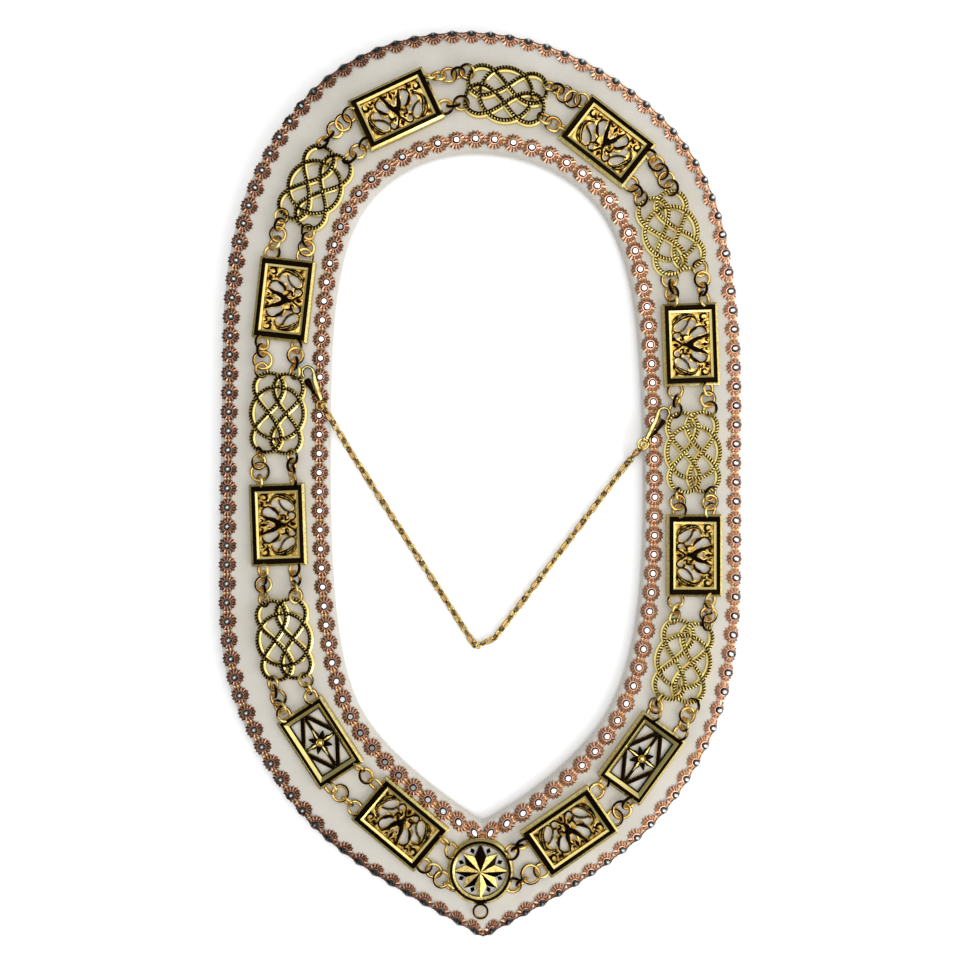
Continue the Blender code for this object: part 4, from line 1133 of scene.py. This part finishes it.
def chain_shell(link_length):
    """Links of four sorts by turns, each through the last: place them at the running sum of their
    pitches and roll them about the route."""
    rows, route = np.array(CHAIN_LINKS), np.array(CHAIN_ROUTE)
    scale = link_length / max(rows[:, 0])
    lengths = rows[:, 0] * scale
    run = travelled(route)
    pitch = (lengths + np.roll(lengths, -1)) / 2 - 2 * CHAIN_WIRE
    count = int(run[-1] / pitch.mean())
    sort = np.arange(count) % len(rows)
    places = np.concatenate([[0], np.cumsum(pitch[sort])[:-1]])
    places = 1.2 + places * (run[-1] - 2.4) / places[-1]
    along = unit(read(places + 0.5, run, route) - read(places - 0.5, run, route))
    side = unit(np.cross(UPWARD, along))
    roll = np.radians(rows[sort, 2] + 14 * np.sin(np.arange(count) * 2.7))[:, None]
    wide = side * np.cos(roll) + np.cross(along, side) * np.sin(roll)
    axes = np.stack([along, wide, np.cross(along, wide)], axis=1)
    line = read(places, run, route)
    links = [link_shell(length * scale, width, CHAIN_WIRE, dark, warm)
             for length, width, _, dark, warm in CHAIN_LINKS]
    return merge([spread(link, axes[sort == k], line[sort == k]) for k, link in enumerate(links)])


def clasp_shell(clasp):
    """The hook: a flattened round bar carried along the back and round the head to the tip. It
    dips by exp(-u^4) under the lever. A swivel ring hangs on its tail."""
    places, line, length = even_curve(HOOK_LINE, 0.5)
    width = np.interp(places, np.linspace(0, length, len(HOOK_WIDTHS)), HOOK_WIDTHS)
    dip = np.exp(-((line[:, 0] - 11) / 5.5)**4) * (line[:, 1] < 2)
    profile = round_profile(1, 12)
    rim = np.abs(profile[:, 0])
    profile = profile * np.stack([width, 0.35 + 0.55 * np.minimum(width, 1.2)], axis=1)[:, None]
    # Painted shade: the hook darkens at its sides, more where it is slim, and over its head.
    slim = np.clip(1.35 - width, 0, 1)[:, None]
    head = np.interp(places / length, (0.5, 0.66, 1), (0, 0.3, 0.2))[:, None]
    hook = swept(lifted(line, CLASP_Z - dip), profile,
                 shade_and_tarnish=np.clip(0.75 * rim**3 + 0.8 * slim * rim + head, 0, 1))
    boss = placed(dome_shell(1.5, 0.9), x=6.4, y=2.4, z=CLASP_Z + 1)
    cheek = flat_bar([(1.6, 1.2), (3.4, 1.75), (5, 2.25)], (0.3, 0.6, 0.75))
    x, y, radius, dark = clasp.swivel
    swivel = placed(ring_shell(radius, 0.7, 24, 8, dark), x=x, y=y, z=CLASP_Z - 0.3)
    eye = placed(ring_shell(1.7, 0.55, 18, 6), x=-0.6, z=CLASP_Z)
    return merge([hook, eye, boss, cheek, swivel])


def flat_bar(points, widths):
    """A bar of changing width with a soft-edged top painted black as a dark reflection, carried
    along a line.
    """
    profile = BAR_ARCH * np.stack([widths, np.ones(len(widths))], axis=1)[:, None]
    return swept(lifted(np.array(points), CLASP_Z + 0.55), profile, shade_and_tarnish=BAR_DARK_REFLECTION)


def lever_shell(breadth):
    """The lever: a bar that widens to its thumb end."""
    return flat_bar([(5.6, 2.5), (8, 2.7), (11.5, 3), (14.4, 3.25), (15.4, 3.35)],
                    np.array([0.7, 1, 1.5, 1.75, 1.2]) * breadth)


# --- operators ---


class COLLAR_OT_stage(bpy.types.Operator):
    """Set up the pale floor, the soft studio light and the camera over the collar"""
    bl_idname = "collar.stage"
    bl_label = "Stage"

    def execute(self, context):
        floor = bpy.data.meshes.new("floor")
        corners = [(-3, -3, FLOOR_Z), (3, -3, FLOOR_Z), (3, 3, FLOOR_Z), (-3, 3, FLOOR_Z)]
        floor.from_pydata(corners, [], [(0, 1, 2, 3)])
        nodes, shader = new_material("floor_white")
        nodes.feed(shader, {"Base Color": (0.93, 0.93, 0.93, 1), "Roughness": 0.9})
        floor.materials.append(bpy.data.materials["floor_white"])
        add_object("floor", floor)
        world = bpy.data.worlds.new("studio")
        nodes = Nodes(world)
        place = nodes.place("Generated")
        dome = nodes.ramp(nodes.axis(place, "Z"), 0.5, 0.85, 0.25, 1.18)
        side = nodes.ramp(nodes.axis(place, "X"), 0.5, 0.85, 0, 1.2)
        nodes.feed(nodes.tree.nodes["Background"], {
            "Color": (1, 1, 1, 1), "Strength": nodes.math("ADD", dome, side)})
        context.scene.world = world
        for name, place, width, power in LAMPS:
            lamp = bpy.data.lights.new(name, "AREA")
            lamp.shape, lamp.size, lamp.energy = "DISK", width, power
            piece = add_object(name, lamp)
            piece.location = place
            piece.rotation_euler = (-piece.location).to_track_quat("-Z", "Y").to_euler()
        camera = bpy.data.cameras.new("camera")
        camera.lens, camera.sensor_width = 43.75, 36
        camera.clip_start, camera.clip_end = 0.01, 10
        context.scene.camera = add_object("camera", camera)
        context.scene.camera.location = CAMERA_PLACE
        context.scene.view_settings.view_transform = "Standard"
        return {"FINISHED"}


class COLLAR_OT_band(bpy.types.Operator):
    """Make the padded cloth band"""
    bl_idname = "collar.band"
    bl_label = "Padded band"

    def execute(self, context):
        make_band(context.scene.collar_sizes.padding_swell)
        return {"FINISHED"}


class COLLAR_OT_trims(bpy.types.Operator):
    """Sew the stone-set wire flowers along both edges"""
    bl_idname = "collar.trims"
    bl_label = "Stone trims"

    def execute(self, context):
        sizes = context.scene.collar_sizes
        make_trim("inner", sizes.inner_pitch, TRIM_LINE, 0)
        make_trim("outer", sizes.outer_pitch, OUTER_TRIM_LINE, EDGE_ROLL + 0.35)
        return {"FINISHED"}


class COLLAR_OT_plates(bpy.types.Operator):
    """Cast the knot, filigree and rosette plates and the medallion"""
    bl_idname = "collar.plates"
    bl_label = "Cast plates"

    def execute(self, context):
        shells = {"knot": knot_shell(), "filigree": filigree_shell(), "rosette": rosette_shell(),
                  "medallion": medallion_shell()}
        for plate in PLATES:
            base = MEDALLION_BASE if plate.kind == "medallion" else PLATE_BASE
            cast = placed(shells[plate.kind], plate.x, plate.y, base, plate.turn)
            # Painted light: knots towards the right are lighter.
            if plate.kind == "knot":
                shade_and_tarnish = np.interp(plate.x, (60, 110), (1, LIT_SIDE_KNOT_SHADE))
                cast = cast._replace(finish=cast.finish * (shade_and_tarnish, 1, 1))
            build("cast_" + plate.name, cast, "collar_gold", replaces=(plate.name,),
                  crease=45)
        return {"FINISHED"}


class COLLAR_OT_rings(bpy.types.Operator):
    """Join the plates with two rows of jump rings"""
    bl_idname = "collar.rings"
    bl_label = "Jump rings"

    def execute(self, context):
        for k, rows in enumerate(RAIL_ROWS):
            for side, name, row in zip((1, -1), ("outer", "inner"), rows):
                rings = rail_shell(PLATES[k], PLATES[(k + 1) % len(PLATES)], side, row,
                                   k * 2 + side)
                node = f"{name}_rail_{k}"
                build(f"{name}_rings_{k + 1}", rings, "collar_links",
                      replaces=(node,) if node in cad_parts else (), crease=0)
        return {"FINISHED"}


class COLLAR_OT_neck_chain(bpy.types.Operator):
    """Link the neck chain along its route"""
    bl_idname = "collar.neck_chain"
    bl_label = "Neck chain"

    def execute(self, context):
        links = chain_shell(context.scene.collar_sizes.link_length / MM)
        build("neck_chain_links", links, "collar_links", replaces=("neck_chain",),
              crease=0)
        return {"FINISHED"}


class COLLAR_OT_clasps(bpy.types.Operator):
    """Make both lobster clasps and their levers"""
    bl_idname = "collar.clasps"
    bl_label = "Clasps"

    def execute(self, context):
        for clasp in CLASPS:
            spot = dict(x=clasp.x, y=clasp.y, turn=clasp.turn, flip_y=clasp.side)
            hook = placed(clasp_shell(clasp), **spot)
            lever = placed(lever_shell(clasp.breadth), **spot)
            build(clasp.name + "_hook", hook, "collar_gold", replaces=(clasp.name,),
                  crease=45)
            build(clasp.name + "_thumb_lever", lever, "collar_gold",
                  body=clasp.name.replace("clasp", "lever"), replaces=(clasp.name + "_lever",),
                  crease=45)
        return {"FINISHED"}


OPERATORS = (COLLAR_OT_stage, COLLAR_OT_band, COLLAR_OT_trims, COLLAR_OT_plates,
             COLLAR_OT_rings, COLLAR_OT_neck_chain, COLLAR_OT_clasps)


class COLLAR_PT_panel(bpy.types.Panel):
    bl_idname = "COLLAR_PT_panel"
    bl_label = "Chain collar"
    bl_space_type = "VIEW_3D"
    bl_region_type = "UI"
    bl_category = "Collar"

    def draw(self, context):
        for group in (context.scene.collar_sizes, context.scene.collar_colours):
            for key in group.bl_rna.properties.keys():
                if key not in ("rna_type", "name"):
                    self.layout.prop(group, key)
        for operator in OPERATORS:
            self.layout.operator(operator.bl_idname)


CLASSES = (CollarSizes, CollarColours, *OPERATORS, COLLAR_PT_panel)


def register():
    for made in CLASSES:
        bpy.utils.register_class(made)
    bpy.types.Scene.collar_sizes = bpy.props.PointerProperty(type=CollarSizes)
    bpy.types.Scene.collar_colours = bpy.props.PointerProperty(type=CollarColours)


def unregister():
    del bpy.types.Scene.collar_colours
    del bpy.types.Scene.collar_sizes
    for made in reversed(CLASSES):
        bpy.utils.unregister_class(made)


def main():
    """Make the collar piece by piece."""
    register()
    bpy.ops.collar.stage()
    bpy.ops.collar.band()
    bpy.ops.collar.trims()
    bpy.ops.collar.plates()
    bpy.ops.collar.rings()
    bpy.ops.collar.neck_chain()
    bpy.ops.collar.clasps()


if __name__ == "__main__":
    main()
